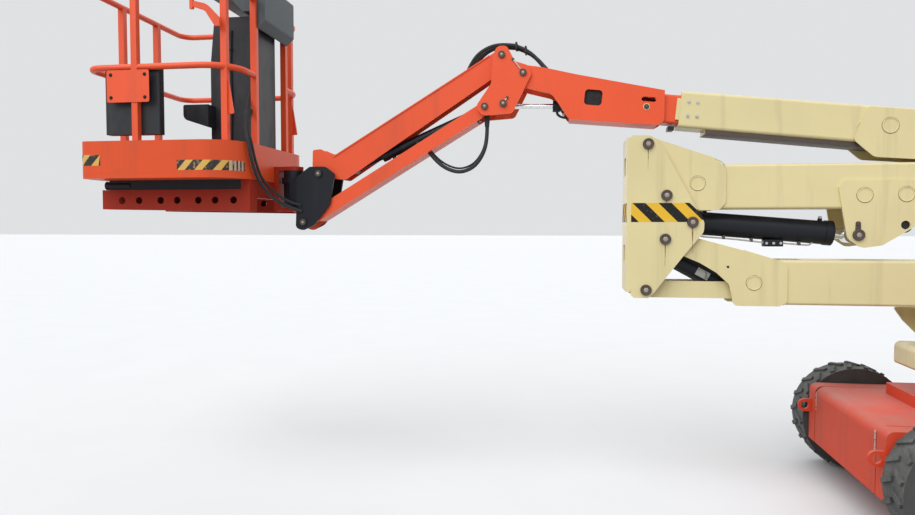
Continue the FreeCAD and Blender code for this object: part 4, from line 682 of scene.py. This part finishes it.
class LIFT_OT_plates(bpy.types.Operator):
    """Pressed rings, weld beads, drain holes painted as black discs of shade, plate bolts, and near-black painted shade
    in the fly nose, the chassis grooves and an opening of the upper arm
    """
    bl_idname = "lift.plates"
    bl_label = "Plate details"

    def execute(self, context):
        made = {}
        for body, (x, z), face, r in RINGS:
            form = made.setdefault(body, Form())
            for sign in (-1, 1):
                place = side_of(x, face, z, sign)
                form.turned([(r - 0.0045, 0), (r + 0.0025, 0), (r + 0.001, 0.0034), (r - 0.003, 0.0034), (r - 0.0045, 0)],
                            "bead", place, 48)
                form.turned([(r + 0.0020, 0), (r + 0.0050, 0), (r + 0.0050, 0.0004), (r + 0.0020, 0.0004), (r + 0.0020, 0)],
                            "stain", place, 48)
        for body, face, r, places in BEADS:
            form = made.setdefault(body, Form())
            for sign in (-1, 1):
                line = line_of([(x, sign * face, z) for x, z in places], 8)
                rough = []
                for k, p in enumerate(line):
                    rough.append(p + Vector((0, sign * 0.0006 * math.sin(k * 2.1), 0.0006 * math.cos(k * 1.7))))
                form.sweep(rough, r, "bead", 8)
        form = made.setdefault("main_boom", Form())
        for x, z in ((0.0050, 2.4030), (0.0560, 2.3960), (-0.0000, 2.3180), (0.0520, 2.3140)):
            for sign in (-1, 1):
                hexagon(0.0075, 0.008, "zinc", form, side_of(x, 0.098, z, sign))
        tilt = Matrix.Translation((R1[0], 0, R1[1])) @ Matrix.Rotation(math.radians(6), 4, "Y")
        for low, high in (((-2.4440, -0.0836, -0.1340), (-1.4800, -0.0822, -0.1082)),
                          ((-2.4440, 0.0822, -0.1340), (-1.4800, 0.0836, -0.1082)),
                          ((-2.4440, -0.0836, -0.1352), (-1.4800, 0.0836, -0.1338))):
            form.block(low, high, "steel", 0.0002, tilt)
        form = made.setdefault("upper_arm", Form())
        # Near-black disc on each side of the upper arm: painted shade of an opening
        for sign in (-1, 1):
            form.turned([(0, 0), (0.044, 0), (0.044, 0.0012), (0, 0.0012)], "painted_shade", side_of(1.1977, 0.1180, 1.6700, sign), 32)
        form = made.setdefault("lower_arm", Form())
        # Small black disc on each side of the lower arm: painted shade of a drain hole
        for sign in (-1, 1):
            form.turned([(0, 0), (0.0075, 0), (0.0075, 0.0006), (0, 0.0006)], "dark", side_of(0.2350, GUSSET, 1.4240, sign))
        form = made.setdefault("fly_boom", Form())
        for sign in (-1, 1):
            hexagon(0.0110, 0.011, "steel", form, side_of(-0.2400, 0.100, 2.3790, sign))
            form.turned([(0.016, 0), (0.020, 0), (0.019, 0.002), (0.016, 0.002), (0.016, 0)], "bead",
                        side_of(-0.2400, 0.100, 2.3790, sign), 28)
        form.block((-0.1080, -0.045, 2.2420), (-0.0720, 0.045, 2.2680), "black_plastic", 0.003)
        # Near-black sheets inside the fly nose, behind its window: painted shade
        for sign in (-1, 1):
            form.block((-0.6300, sign * 0.0830 - 0.0010, 2.3720), (-0.4650, sign * 0.0830 + 0.0010, 2.5020), "painted_shade", 0.0005)
        form = made.setdefault("platform", Form())
        for x, z in ((-3.398, 2.562), (-3.180, 2.562), (-3.398, 2.428), (-3.180, 2.428)):
            hexagon(0.0075, 0.0055, "dark", form, side_of(x, 0.594, z, -1))
        form = made.setdefault("chassis", Form())
        for k in range(24):
            t = 2 * math.pi * (k + 0.5) / 24
            hexagon(0.012, 0.012, "steel", form, Matrix.Translation((2.2457 + 0.372 * math.cos(t), 0.372 * math.sin(t), 0.770)))
        # Outline of a near-black strip laid in each groove of the chassis side: painted shade
        def groove_shade_outline(inset):
            front, top, bend = 0.9337 + inset, 0.603 - inset, 0.050
            arc = [(front + bend - bend * math.cos(t), top - bend + bend * math.sin(t))
                   for t in (math.pi / 2 * k / 10 for k in range(11))]
            return [(front, 0.2650)] + arc + [(2.700, top)]

        for sign in (-1, 1):
            form.plate(groove_shade_outline(0.0012) + groove_shade_outline(0.0125)[::-1], 0.0074, "painted_shade", side_of(0, 0.4763, 0, sign))
        rng = random.Random(7)
        for sign in (-1, 1):
            for k in range(7):
                y, z = sign * (0.4670 - 0.006 * rng.random()), 0.452 + 0.018 * k + 0.008 * rng.random()
                w, h = 0.006 + 0.007 * rng.random(), 0.006 + 0.009 * rng.random()
                corners = [(w * (0.7 + 0.5 * rng.random()) * math.cos(t), h * (0.7 + 0.5 * rng.random()) * math.sin(t))
                           for t in (2 * math.pi * i / 7 for i in range(7))]
                place = Matrix.Translation((0.9336, y, z)) @ Matrix(((0, 0, -1), (1, 0, 0), (0, 1, 0))).to_4x4()
                form.plate(corners, 0.0005, "bare", place)
        slots = {"main_boom": "cream_paint", "lower_arm": "cream_paint", "upper_arm": "cream_paint",
                 "fly_boom": "orange_paint", "platform": "orange_paint", "chassis": "chassis_paint"}
        for body, form in made.items():
            form.done("plate_details_" + body, body, slots[body])
        return {"FINISHED"}


# Hoses: name, first body, second body, start, end, radius share, and the places they pass
HOSES = [
    ("fly_to_elbow", "fly_boom", "elbow", (-0.86, 0, 2.66), (-0.98, 0, 2.77), [
        (1.0, [(-0.800, -0.045, 2.600), (-0.856, -0.045, 2.640), (-0.905, -0.045, 2.712), (-0.985, -0.043, 2.768),
               (-1.040, -0.041, 2.786)]),
        (1.0, [(-0.800, -0.018, 2.600), (-0.850, -0.018, 2.652), (-0.890, -0.018, 2.700), (-0.970, -0.016, 2.756),
               (-1.036, -0.015, 2.773)]),
        (0.8, [(-0.800, 0.012, 2.600), (-0.860, 0.012, 2.655), (-0.910, 0.012, 2.718), (-0.985, 0.012, 2.763),
               (-1.038, 0.012, 2.779)])]),
    ("elbow_to_jib", "elbow", "jib_upper_link", (-1.04, 0, 2.78), (-1.22, 0, 2.76), [
        (1.0, [(-1.036, -0.041, 2.785), (-1.100, -0.039, 2.795), (-1.180, -0.036, 2.788), (-1.262, -0.034, 2.745), (-1.310, -0.032, 2.680),
               (-1.345, -0.030, 2.600), (-1.420, -0.030, 2.540)]),
        (1.0, [(-1.032, -0.015, 2.772), (-1.100, -0.014, 2.781), (-1.175, -0.012, 2.774), (-1.240, -0.010, 2.730), (-1.290, -0.010, 2.670),
               (-1.330, -0.010, 2.596), (-1.410, -0.010, 2.530)]),
        (0.8, [(-1.034, 0.012, 2.778), (-1.100, 0.012, 2.788), (-1.180, 0.012, 2.783), (-1.256, 0.012, 2.742), (-1.300, 0.012, 2.684),
               (-1.340, 0.012, 2.600), (-1.420, 0.012, 2.540)])]),
    ("elbow_to_lower_jib", "elbow", "jib_lower_link", (-1.21, -0.05, 2.25), (-1.50, -0.05, 2.10), [
        (1.15, [(-1.205, -0.045, 2.420), (-1.205, -0.050, 2.340), (-1.203, -0.055, 2.240), (-1.214, -0.060, 2.150),
                (-1.250, -0.062, 2.075), (-1.300, -0.062, 2.025), (-1.380, -0.060, 2.000), (-1.470, -0.056, 2.030),
                (-1.535, -0.050, 2.085), (-1.600, -0.035, 2.165), (-1.660, -0.020, 2.200)]),
        (0.6, [(-1.212, -0.020, 2.420), (-1.214, -0.020, 2.340), (-1.212, -0.025, 2.250), (-1.222, -0.030, 2.165),
               (-1.256, -0.034, 2.095), (-1.306, -0.036, 2.046), (-1.384, -0.036, 2.024), (-1.466, -0.032, 2.052),
               (-1.530, -0.028, 2.100), (-1.590, -0.016, 2.170), (-1.650, -0.005, 2.200)])]),
    ("platform_to_head", "platform", "jib_head", (-2.62, 0, 0), (-2.45, 0, 0), [
        (1.0, [(-2.690, -0.220, 2.500), (-2.665, -0.350, 2.360), (-2.640, -0.420, 2.260), (-2.602, -0.462, 2.190),
               (-2.592, -0.428, 2.050), (-2.586, -0.330, 1.925), (-2.545, -0.215, 1.835), (-2.480, -0.145, 1.792),
               (-2.425, -0.116, 1.768), (-2.400, -0.104, 1.760)]),
        (0.8, [(-2.680, -0.180, 2.480), (-2.660, -0.300, 2.340), (-2.636, -0.380, 2.250), (-2.598, -0.424, 2.188),
               (-2.588, -0.388, 2.060), (-2.582, -0.300, 1.945), (-2.530, -0.185, 1.860), (-2.475, -0.132, 1.822),
               (-2.430, -0.112, 1.805), (-2.405, -0.103, 1.800)])]),
    ("level_cylinder", "level_barrel", "fly_boom", (-0.78, 0, 0), (-0.70, 0, 0), [
        (0.55, [(-0.770, -0.020, 2.392), (-0.778, -0.030, 2.366), (-0.760, -0.036, 2.340), (-0.715, -0.038, 2.328),
                (-0.660, -0.036, 2.336), (-0.620, -0.030, 2.372)]),
        (0.55, [(-0.770, 0.016, 2.392), (-0.774, 0.024, 2.372), (-0.752, 0.030, 2.350), (-0.710, 0.032, 2.340),
                (-0.660, 0.030, 2.348), (-0.620, 0.026, 2.380)])]),
]


class LIFT_OT_hoses(bpy.types.Operator):
    """Hoses over the elbow, under the jib and down from the platform"""
    bl_idname = "lift.hoses"
    bl_label = "Hoses"

    def execute(self, context):
        r = context.scene.lift.hose / 2
        for name, first, second, start, end, runs in HOSES:
            form = Form()
            for share, places in runs:
                form.sweep(line_of(places, 10), r * share, "hose", 14)
            if name == "elbow_to_lower_jib":
                form.turned([(0.0, 0), (0.014, 0), (0.0175, 0.05), (0.0175, 0.07), (0.0, 0.07)], "hose",
                            facing((-1.2045, -0.0525, 2.285), (0, 0.02, 1)), 20)
            piece = form.done("hose_" + name, None, "black_paint")
            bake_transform(piece)
        form = Form()
        for x, z in ((-0.9660, 2.7520), (-1.0240, 2.7780)):
            form.block((x - 0.006, -0.0560, z - 0.014), (x + 0.006, -0.0535, z + 0.024), "hose", 0.001)
            form.block((x - 0.006, 0.0235, z - 0.014), (x + 0.006, 0.0260, z + 0.024), "hose", 0.001)
            form.block((x - 0.006, -0.0560, z + 0.022), (x + 0.006, 0.0260, z + 0.025), "hose", 0.001)
            form.block((x - 0.006, -0.0560, z - 0.016), (x + 0.006, 0.0260, z - 0.013), "hose", 0.001)
        form.done("hose_clip_elbow", "elbow", "cast")
        return {"FINISHED"}


# Cylinders: name, barrel pin and rod pin (x, z), barrel radius, eye diameter, length of the barrel from its pin
CYLINDERS = [
    ("upper_lift", P3, ROD, 0.070, 0.100, 0.8220), ("lower_lift", (-0.1093, 1.4950), W, 0.058, 0.068, 0.4470),
    ("main_lift", C1, C2, 0.056, 0.090, 0.8230), ("level", S, E2, 0.031, 0.056, 0.3843),
    ("jib_lift", B, (-2.0727, 2.0342), 0.033, 0.060, 0.7349),
]


class LIFT_OT_cylinders(bpy.types.Operator):
    """Ports, pipes and the holding valve of the cylinders"""
    bl_idname = "lift.cylinders"
    bl_label = "Cylinder fittings"

    def execute(self, context):
        for name, start, end, r, eye, mouth in CYLINDERS:
            base = Vector((start[0], 0, start[1]))
            way = (Vector((end[0], 0, end[1])) - base).normalized()
            up = way.cross(Vector((0, 1, 0)))
            form = Form()
            ports = [base + way * u + up * (r + 0.012) for u in (eye / 2 + 0.040, mouth - 0.070)]
            for at in ports:
                form.turned([(0, 0), (0.0105, 0), (0.0105, 0.011), (0.0085, 0.013), (0, 0.013)], "zinc", facing(at, up), 6)
            a, b = ports[0] + up * 0.009, ports[1] + up * 0.009
            if name == "upper_lift":
                form.block((0.454, -0.046, 1.5430), (0.566, 0.004, 1.5840), "black", 0.003)
                for x in (0.470, 0.510, 0.550):
                    form.turned([(0, 0), (0.0085, 0), (0.0085, 0.007), (0, 0.008)], "zinc",
                                facing((x, -0.046, 1.5630), (0, -1, 0)), 6)
                for y in (-0.036, -0.020):
                    form.sweep(line_of([(0.083, y, 1.625), (0.085, y, 1.606), (0.110, y, 1.600), (0.255, y, 1.590),
                                        (0.425, y, 1.571), (0.456, y, 1.567)], 8), 0.0048, "zinc", 10)
                form.sweep(line_of([(0.560, -0.028, 1.563), (0.600, -0.028, 1.560), (0.690, -0.028, 1.552),
                                    (0.724, -0.028, 1.552), (0.733, -0.028, 1.575)], 8), 0.0048, "zinc", 10)
                for x, z in ((0.220, 1.5860), (0.380, 1.5700), (0.650, 1.5500)):
                    form.block((x, -0.044, z), (x + 0.014, -0.012, z + 0.024), "steel", 0.001)
            else:
                form.sweep(line_of([a - way * 0.004, a + way * 0.030, (a + b) / 2 + up * 0.002, b - way * 0.030,
                                    b + way * 0.004], 8), 0.0048, "zinc" if r > 0.035 else "hose", 10)
            if name in ("lower_lift", "main_lift"):
                turn = Matrix(((way.x, 0, up.x), (0, 1, 0), (way.z, 0, up.z))).to_4x4()
                at = (a + b) / 2 - up * 0.009
                form.block((-0.045, -0.021, -0.013), (0.045, 0.021, 0.020), "black", 0.003, Matrix.Translation(at) @ turn)
                for u in (-0.028, 0.0, 0.028):
                    form.turned([(0, 0), (0.0085, 0), (0.0085, 0.007), (0, 0.008)], "zinc",
                                facing(at + way * u - Vector((0, 0.021, 0)), (0, -1, 0)), 6)
            form.turned([(0, 0), (0.0052, 0), (0.0052, 0.006), (0.003, 0.010), (0, 0.010)], "zinc",
                        facing(base - way * (eye / 2 - 0.001), -way), 12)
            form.done("fittings_" + name, name + "_barrel", "black_paint")
        form = Form()
        name, start, end, r, eye, mouth = CYLINDERS[1]
        base = Vector((start[0], 0, start[1]))
        way = (Vector((end[0], 0, end[1])) - base).normalized()
        up = way.cross(Vector((0, 1, 0)))
        part = bmesh.new()
        rows = []
        for k in range(7):
            t = math.radians(-24 + 8 * k)
            rows.append([base + way * u + (up * math.sin(t) - Vector((0, math.cos(t), 0))) * h
                         for u, h in ((0.205, r + 0.0002), (0.205, r + 0.0008), (0.285, r + 0.0008), (0.285, r + 0.0002))])
        rows = [[part.verts.new(p) for p in row] for row in rows]
        for low, high in zip(rows, rows[1:]):
            for i in range(4):
                j = (i + 1) % 4
                part.faces.new((low[i], low[j], high[j], high[i]))
        part.faces.new(rows[0])
        part.faces.new(rows[-1])
        bmesh.ops.recalc_face_normals(part, faces=part.faces)
        form.take(part, "label")
        form.done("plate_lower_lift", "lower_lift_barrel", "black_paint")
        return {"FINISHED"}


class LIFT_OT_console(bpy.types.Operator):
    """Joysticks, switches, the stop button, the cable bundle and the foot switch of the platform"""
    bl_idname = "lift.console"
    bl_label = "Controls"

    def execute(self, context):
        a, b = Vector((-2.945, 0, 3.175)), Vector((-2.653, 0, 3.240))
        way = (b - a).normalized()
        up = Vector((-way.z, 0, way.x))
        form = Form()

        def on_panel(u, y, lift=-0.0015):
            at = a + way * u + up * lift
            return Matrix.Translation((at.x, y, at.z)) @ Matrix(((way.x, 0, up.x), (0, 1, 0), (way.z, 0, up.z))).to_4x4()

        for y in (-0.150, 0.160):
            place = on_panel(0.042, y)
            form.turned([(0, 0), (0.030, 0), (0.030, 0.003), (0.024, 0.005), (0.021, 0.010), (0.016, 0.013), (0.012, 0.017),
                         (0.008, 0.019), (0, 0.019)], "black_plastic", place, 28)
            form.turned([(0, 0.016), (0.006, 0.016), (0.006, 0.026), (0.012, 0.031), (0.016, 0.040), (0.014, 0.047),
                         (0.007, 0.050), (0, 0.0505)], "black_plastic", place, 24)
        for y in (-0.080, -0.045, -0.010, 0.025, 0.060):
            place = on_panel(0.034, y)
            form.turned([(0, 0), (0.010, 0), (0.010, 0.003), (0.0065, 0.004), (0.0065, 0.008), (0, 0.008)], "zinc", place, 20)
            form.turned([(0, 0.006), (0.0028, 0.006), (0.004, 0.024), (0.003, 0.027), (0, 0.027)], "zinc", place, 12)
        for y in (-0.075, -0.030, 0.015):
            form.block((-0.012, -0.016, 0), (0.012, 0.016, 0.009), "black_plastic", 0.003, on_panel(0.095, y))
        form.turned([(0, 0), (0.021, 0), (0.021, 0.005), (0.012, 0.007), (0.012, 0.014), (0.021, 0.016), (0.022, 0.024),
                     (0.017, 0.029), (0, 0.031)], "red", on_panel(0.098, 0.095), 32)
        form.turned([(0, 0), (0.008, 0), (0.008, 0.004), (0, 0.007)], "green", on_panel(0.150, 0.040), 20)
        form.turned([(0, 0), (0.015, 0), (0.013, 0.012), (0.010, 0.014), (0, 0.014)], "knob", on_panel(0.150, -0.050), 24)
        for u, y in ((0.016, -0.222), (0.016, 0.222), (0.250, -0.222), (0.250, 0.222), (0.016, 0.0), (0.250, 0.0)):
            form.turned([(0, 0), (0.006, 0), (0.0055, 0.003), (0.003, 0.004), (0, 0.004)], "zinc", on_panel(u, y), 16)
        form.done("controls_console", "platform", "console_grey")
        form = Form()
        for k, (y, z, r) in enumerate(((-0.138, 2.000, 0.009), (-0.141, 1.998, 0.0075), (-0.136, 2.000, 0.0085))):
            x = -2.905 + 0.022 * k
            line = line_of([(x, y, z), (x - 0.006, y, z + 0.2), (x + 0.008, y - 0.006, z + 0.45),
                            (x - 0.004, y, z + 0.7), (x + 0.006, y, 2.905 + 0.01 * k)], 10)
            form.sweep(line, r, "hose", 12)
        for z in (2.12, 2.46, 2.80):
            form.block((-2.922, -0.152, z), (-2.848, -0.1295, z + 0.010), "black_plastic", 0.002)
        form.done("cables_column", "platform", "black_plastic")
        form = Form()
        form.block((-3.160, 0.100, 1.9812), (-2.900, 0.300, 1.9900), "black", 0.003)
        form.plate([(-0.09, 0), (0.09, 0), (0.09, 0.055), (0.05, 0.070), (-0.09, 0.030)], 0.110, "black",
                   Matrix.Translation((-3.030, 0.255, 1.990)) @ Matrix(((1, 0, 0), (0, 0, -1), (0, 1, 0))).to_4x4(), 0.004)
        for y in (0.138, 0.262):
            form.block((-3.135, y, 1.9900), (-2.925, y + 0.006, 2.075), "yellow", 0.002)
        form.block((-3.135, 0.138, 2.070), (-2.925, 0.268, 2.076), "yellow", 0.002)
        form.done("foot_switch", "platform", "black_paint")
        return {"FINISHED"}


class LIFT_OT_floor(bpy.types.Operator):
    """Raised studs of the platform's tread plate"""
    bl_idname = "lift.tread"
    bl_label = "Tread plate"

    def execute(self, context):
        pitch = context.scene.lift.stud_pitch
        part = bmesh.new()
        low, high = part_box("platform_floor")
        top = high[2]
        count_x, count_y = int((high[0] - low[0] - 0.10) / pitch), int((high[1] - low[1] - 0.10) / pitch)
        for i in range(count_x):
            for j in range(count_y):
                x = (low[0] + high[0]) / 2 + (i - (count_x - 1) / 2) * pitch
                y = (low[1] + high[1]) / 2 + (j - (count_y - 1) / 2) * pitch
                if x > high[0] - 0.25 and abs(y) > high[1] - 0.25:
                    if math.hypot(x - high[0] + 0.25, abs(y) - high[1] + 0.25) > 0.215:
                        continue
                if -3.17 < x < -2.89 and 0.09 < y < 0.31:
                    continue
                if -3.01 < x < -2.66 and abs(y) < 0.14:
                    continue
                turn = 1 if (i + j) % 2 else -1
                a, b = 0.0105, 0.0032
                c = math.sqrt(0.5)
                base, peak = [], []
                for t in (2 * math.pi * k / 8 for k in range(8)):
                    u, v = a * math.cos(t), b * math.sin(t)
                    base.append(part.verts.new((x + (u - v * turn) * c, y + (u * turn + v) * c, top - 0.0004)))
                    peak.append(part.verts.new((x + (u - v * turn) * c * 0.6, y + (u * turn + v) * c * 0.6, top + 0.0016)))
                part.faces.new(list(reversed(base)))
                part.faces.new(peak)
                for k in range(8):
                    part.faces.new((base[k], base[(k + 1) % 8], peak[(k + 1) % 8], peak[k]))
        bmesh.ops.recalc_face_normals(part, faces=part.faces)
        form = Form()
        form.take(part, "zinc")
        form.done("tread_studs", "platform", "orange_paint")
        return {"FINISHED"}


class LIFT_OT_hoods(bpy.types.Operator):
    """Louvres with painted shade over each opening, hinges and latches of the side hoods"""
    bl_idname = "lift.hoods"
    bl_label = "Hoods"

    def execute(self, context):
        for side, sign in (("near", -1), ("far", 1)):
            form = Form()
            for k in range(9):
                place = side_of(2.440, 0.7450, 1.000 + 0.028 * k, sign)
                form.plate([(-0.095, 0), (0.095, 0), (0.098, 0.006), (0.095, 0.010), (-0.095, 0.010), (-0.098, 0.006)],
                           0.005, "chassis", place, 0.0035)
                # A thin black strip over each louvre: painted shade of its opening
                form.block((-0.093, 0.0101, 0.0002), (0.093, 0.0135, 0.0007), "dark", 0.0002, place)
            for x in (2.1300, 2.3600):
                hexagon(0.006, 0.006, "zinc", form, side_of(x, 0.7450, 0.905, sign))
            for x in (1.930, 2.560):
                form.block((-0.030, -0.022, 0.0002), (0.030, 0.022, 0.004), "zinc", 0.0015, side_of(x, 0.745, 0.905, sign))
                form.turned([(0, 0.004), (0.012, 0.004), (0.012, 0.010), (0.006, 0.013), (0, 0.013)], "black_plastic",
                            side_of(x, 0.745, 0.905, sign), 24)
            form.done("hood_details_" + side, "hood_" + side, "chassis_paint")
        return {"FINISHED"}


class LIFT_OT_wheels(bpy.types.Operator):
    """Wheel nuts, hub bolts and the valve"""
    bl_idname = "lift.wheels"
    bl_label = "Wheels"

    def execute(self, context):
        for x, word in ((1.2457, "drive_wheel"), (3.2557, "steer_wheel")):
            for side, sign in (("near", -1), ("far", 1)):
                form = Form()
                for k in range(9):
                    t = 2 * math.pi * k / 9 + 0.3
                    at = side_of(x + 0.108 * math.cos(t), 0.7650, 0.3555 + 0.108 * math.sin(t), sign)
                    form.turned([(0, 0), (0.0165, 0), (0.0165, 0.003), (0.0125, 0.006), (0.0125, 0.020), (0.010, 0.022),
                                 (0, 0.022)], "zinc", at, 6)
                    form.turned([(0, 0.02), (0.0068, 0.02), (0.0062, 0.032), (0, 0.033)], "steel", at, 14)
                for k in range(8):
                    t = 2 * math.pi * (k + 0.5) / 8
                    hexagon(0.0055, 0.007, "zinc", form,
                            side_of(x + 0.061 * math.cos(t), 0.8450, 0.3555 + 0.061 * math.sin(t), sign))
                at = Vector((x + 0.160 * math.cos(1.0), 0.781 * sign, 0.3555 + 0.160 * math.sin(1.0)))
                form.turned([(0, 0), (0.0055, 0), (0.0048, 0.022), (0.0038, 0.024), (0.0038, 0.034), (0, 0.034)],
                            "black_plastic", facing(at, (0.25, sign, 0.30)), 14)
                form.done("nuts_%s_%s" % (word, side), "%s_%s" % (word, side), "rim_paint")
        return {"FINISHED"}


class LIFT_OT_stage(bpy.types.Operator):
    """Set the floor, the soft lights and the camera"""
    bl_idname = "lift.stage"
    bl_label = "Stage"

    def execute(self, context):
        s = context.scene.lift
        scene = context.scene
        floor = bpy.data.meshes.new("floor")
        half = s.floor_size / 2
        floor.from_pydata([(-half, -half, 0), (half, -half, 0), (half, half, 0), (-half, half, 0)], [], [(0, 1, 2, 3)])
        ground = bpy.data.objects.new("floor", floor)
        scene.collection.objects.link(ground)
        n = Net("floor_pale")
        pale = n.mix(n.noise(1.5, 3), (0.70, 0.71, 0.72, 1), (0.74, 0.75, 0.76, 1))
        path = n.add("LightPath").outputs
        seen = n.math("MAXIMUM", n.math("MAXIMUM", path["Is Camera Ray"], path["Is Glossy Ray"]), path["Is Transmission Ray"])
        n.set("Base Color", n.mix(seen, (0.30, 0.30, 0.30, 1), pale))
        n.set("Roughness", 0.75)
        floor.materials.append(n.mat)
        for name, way, angle, power in (("key", (0.32, 0.62, -0.72), 60, 2.3), ("fill", (-0.8, 0.5, -0.5), 80, 0.5),
                                        ("back", (0.1, -0.8, -0.6), 80, 0.9)):
            light = bpy.data.lights.new(name, "SUN")
            light.angle = math.radians(angle)
            light.energy = power
            lamp = bpy.data.objects.new(name, light)
            scene.collection.objects.link(lamp)
            lamp.rotation_euler = Vector(way).to_track_quat("-Z", "Y").to_euler()
        world = bpy.data.worlds.new("studio")
        world.use_nodes = True
        tree = world.node_tree
        plain = tree.nodes["Background"]
        plain.inputs[0].default_value = (0.95, 0.97, 1.0, 1)
        plain.inputs[1].default_value = 0.50
        backdrop = tree.nodes.new("ShaderNodeBackground")
        backdrop.inputs[0].default_value = (0.74, 0.755, 0.77, 1)
        seen = tree.nodes.new("ShaderNodeLightPath")
        either = tree.nodes.new("ShaderNodeMath")
        either.operation = "MAXIMUM"
        tree.links.new(seen.outputs["Is Camera Ray"], either.inputs[0])
        tree.links.new(seen.outputs["Is Transmission Ray"], either.inputs[1])
        any_of = tree.nodes.new("ShaderNodeMath")
        any_of.operation = "MAXIMUM"
        tree.links.new(either.outputs[0], any_of.inputs[0])
        tree.links.new(seen.outputs["Is Glossy Ray"], any_of.inputs[1])
        choice = tree.nodes.new("ShaderNodeMixShader")
        tree.links.new(any_of.outputs[0], choice.inputs[0])
        tree.links.new(plain.outputs[0], choice.inputs[1])
        tree.links.new(backdrop.outputs[0], choice.inputs[2])
        tree.links.new(choice.outputs[0], tree.nodes["World Output"].inputs["Surface"])
        scene.world = world
        lens = bpy.data.cameras.new("camera")
        lens.sensor_width = 36
        lens.lens = s.lens
        camera = bpy.data.objects.new("camera", lens)
        scene.collection.objects.link(camera)
        camera.location = (-0.7053, -4.595, 1.667)
        camera.rotation_euler = (math.radians(90 - 2.51), 0, math.radians(8.59))
        scene.camera = camera
        scene.view_settings.view_transform = "Standard"
        return {"FINISHED"}


OPERATORS = (LIFT_OT_finishes, LIFT_OT_pins, LIFT_OT_bands, LIFT_OT_plates, LIFT_OT_hoses, LIFT_OT_cylinders,
             LIFT_OT_console, LIFT_OT_floor, LIFT_OT_hoods, LIFT_OT_wheels, LIFT_OT_stage)


class LIFT_PT_panel(bpy.types.Panel):
    """Sizes, colours and the steps that dress the lift"""
    bl_idname = "LIFT_PT_panel"
    bl_label = "Boom lift"
    bl_space_type = "VIEW_3D"
    bl_region_type = "UI"
    bl_category = "Boom lift"

    def draw(self, context):
        column = self.layout.column()
        for prop in LiftSettings.__annotations__:
            column.prop(context.scene.lift, prop)
        for operator in OPERATORS:
            column.operator(operator.bl_idname)


CLASSES = (LiftSettings,) + OPERATORS + (LIFT_PT_panel,)


def register():
    for c in CLASSES:
        bpy.utils.register_class(c)
    bpy.types.Scene.lift = bpy.props.PointerProperty(type=LiftSettings)


def unregister():
    del bpy.types.Scene.lift
    for c in reversed(CLASSES):
        bpy.utils.unregister_class(c)


def main():
    register()
    for operator in OPERATORS:
        group, word = operator.bl_idname.split(".")
        getattr(getattr(bpy.ops, group), word)()


if __name__ == "__main__":
    main()
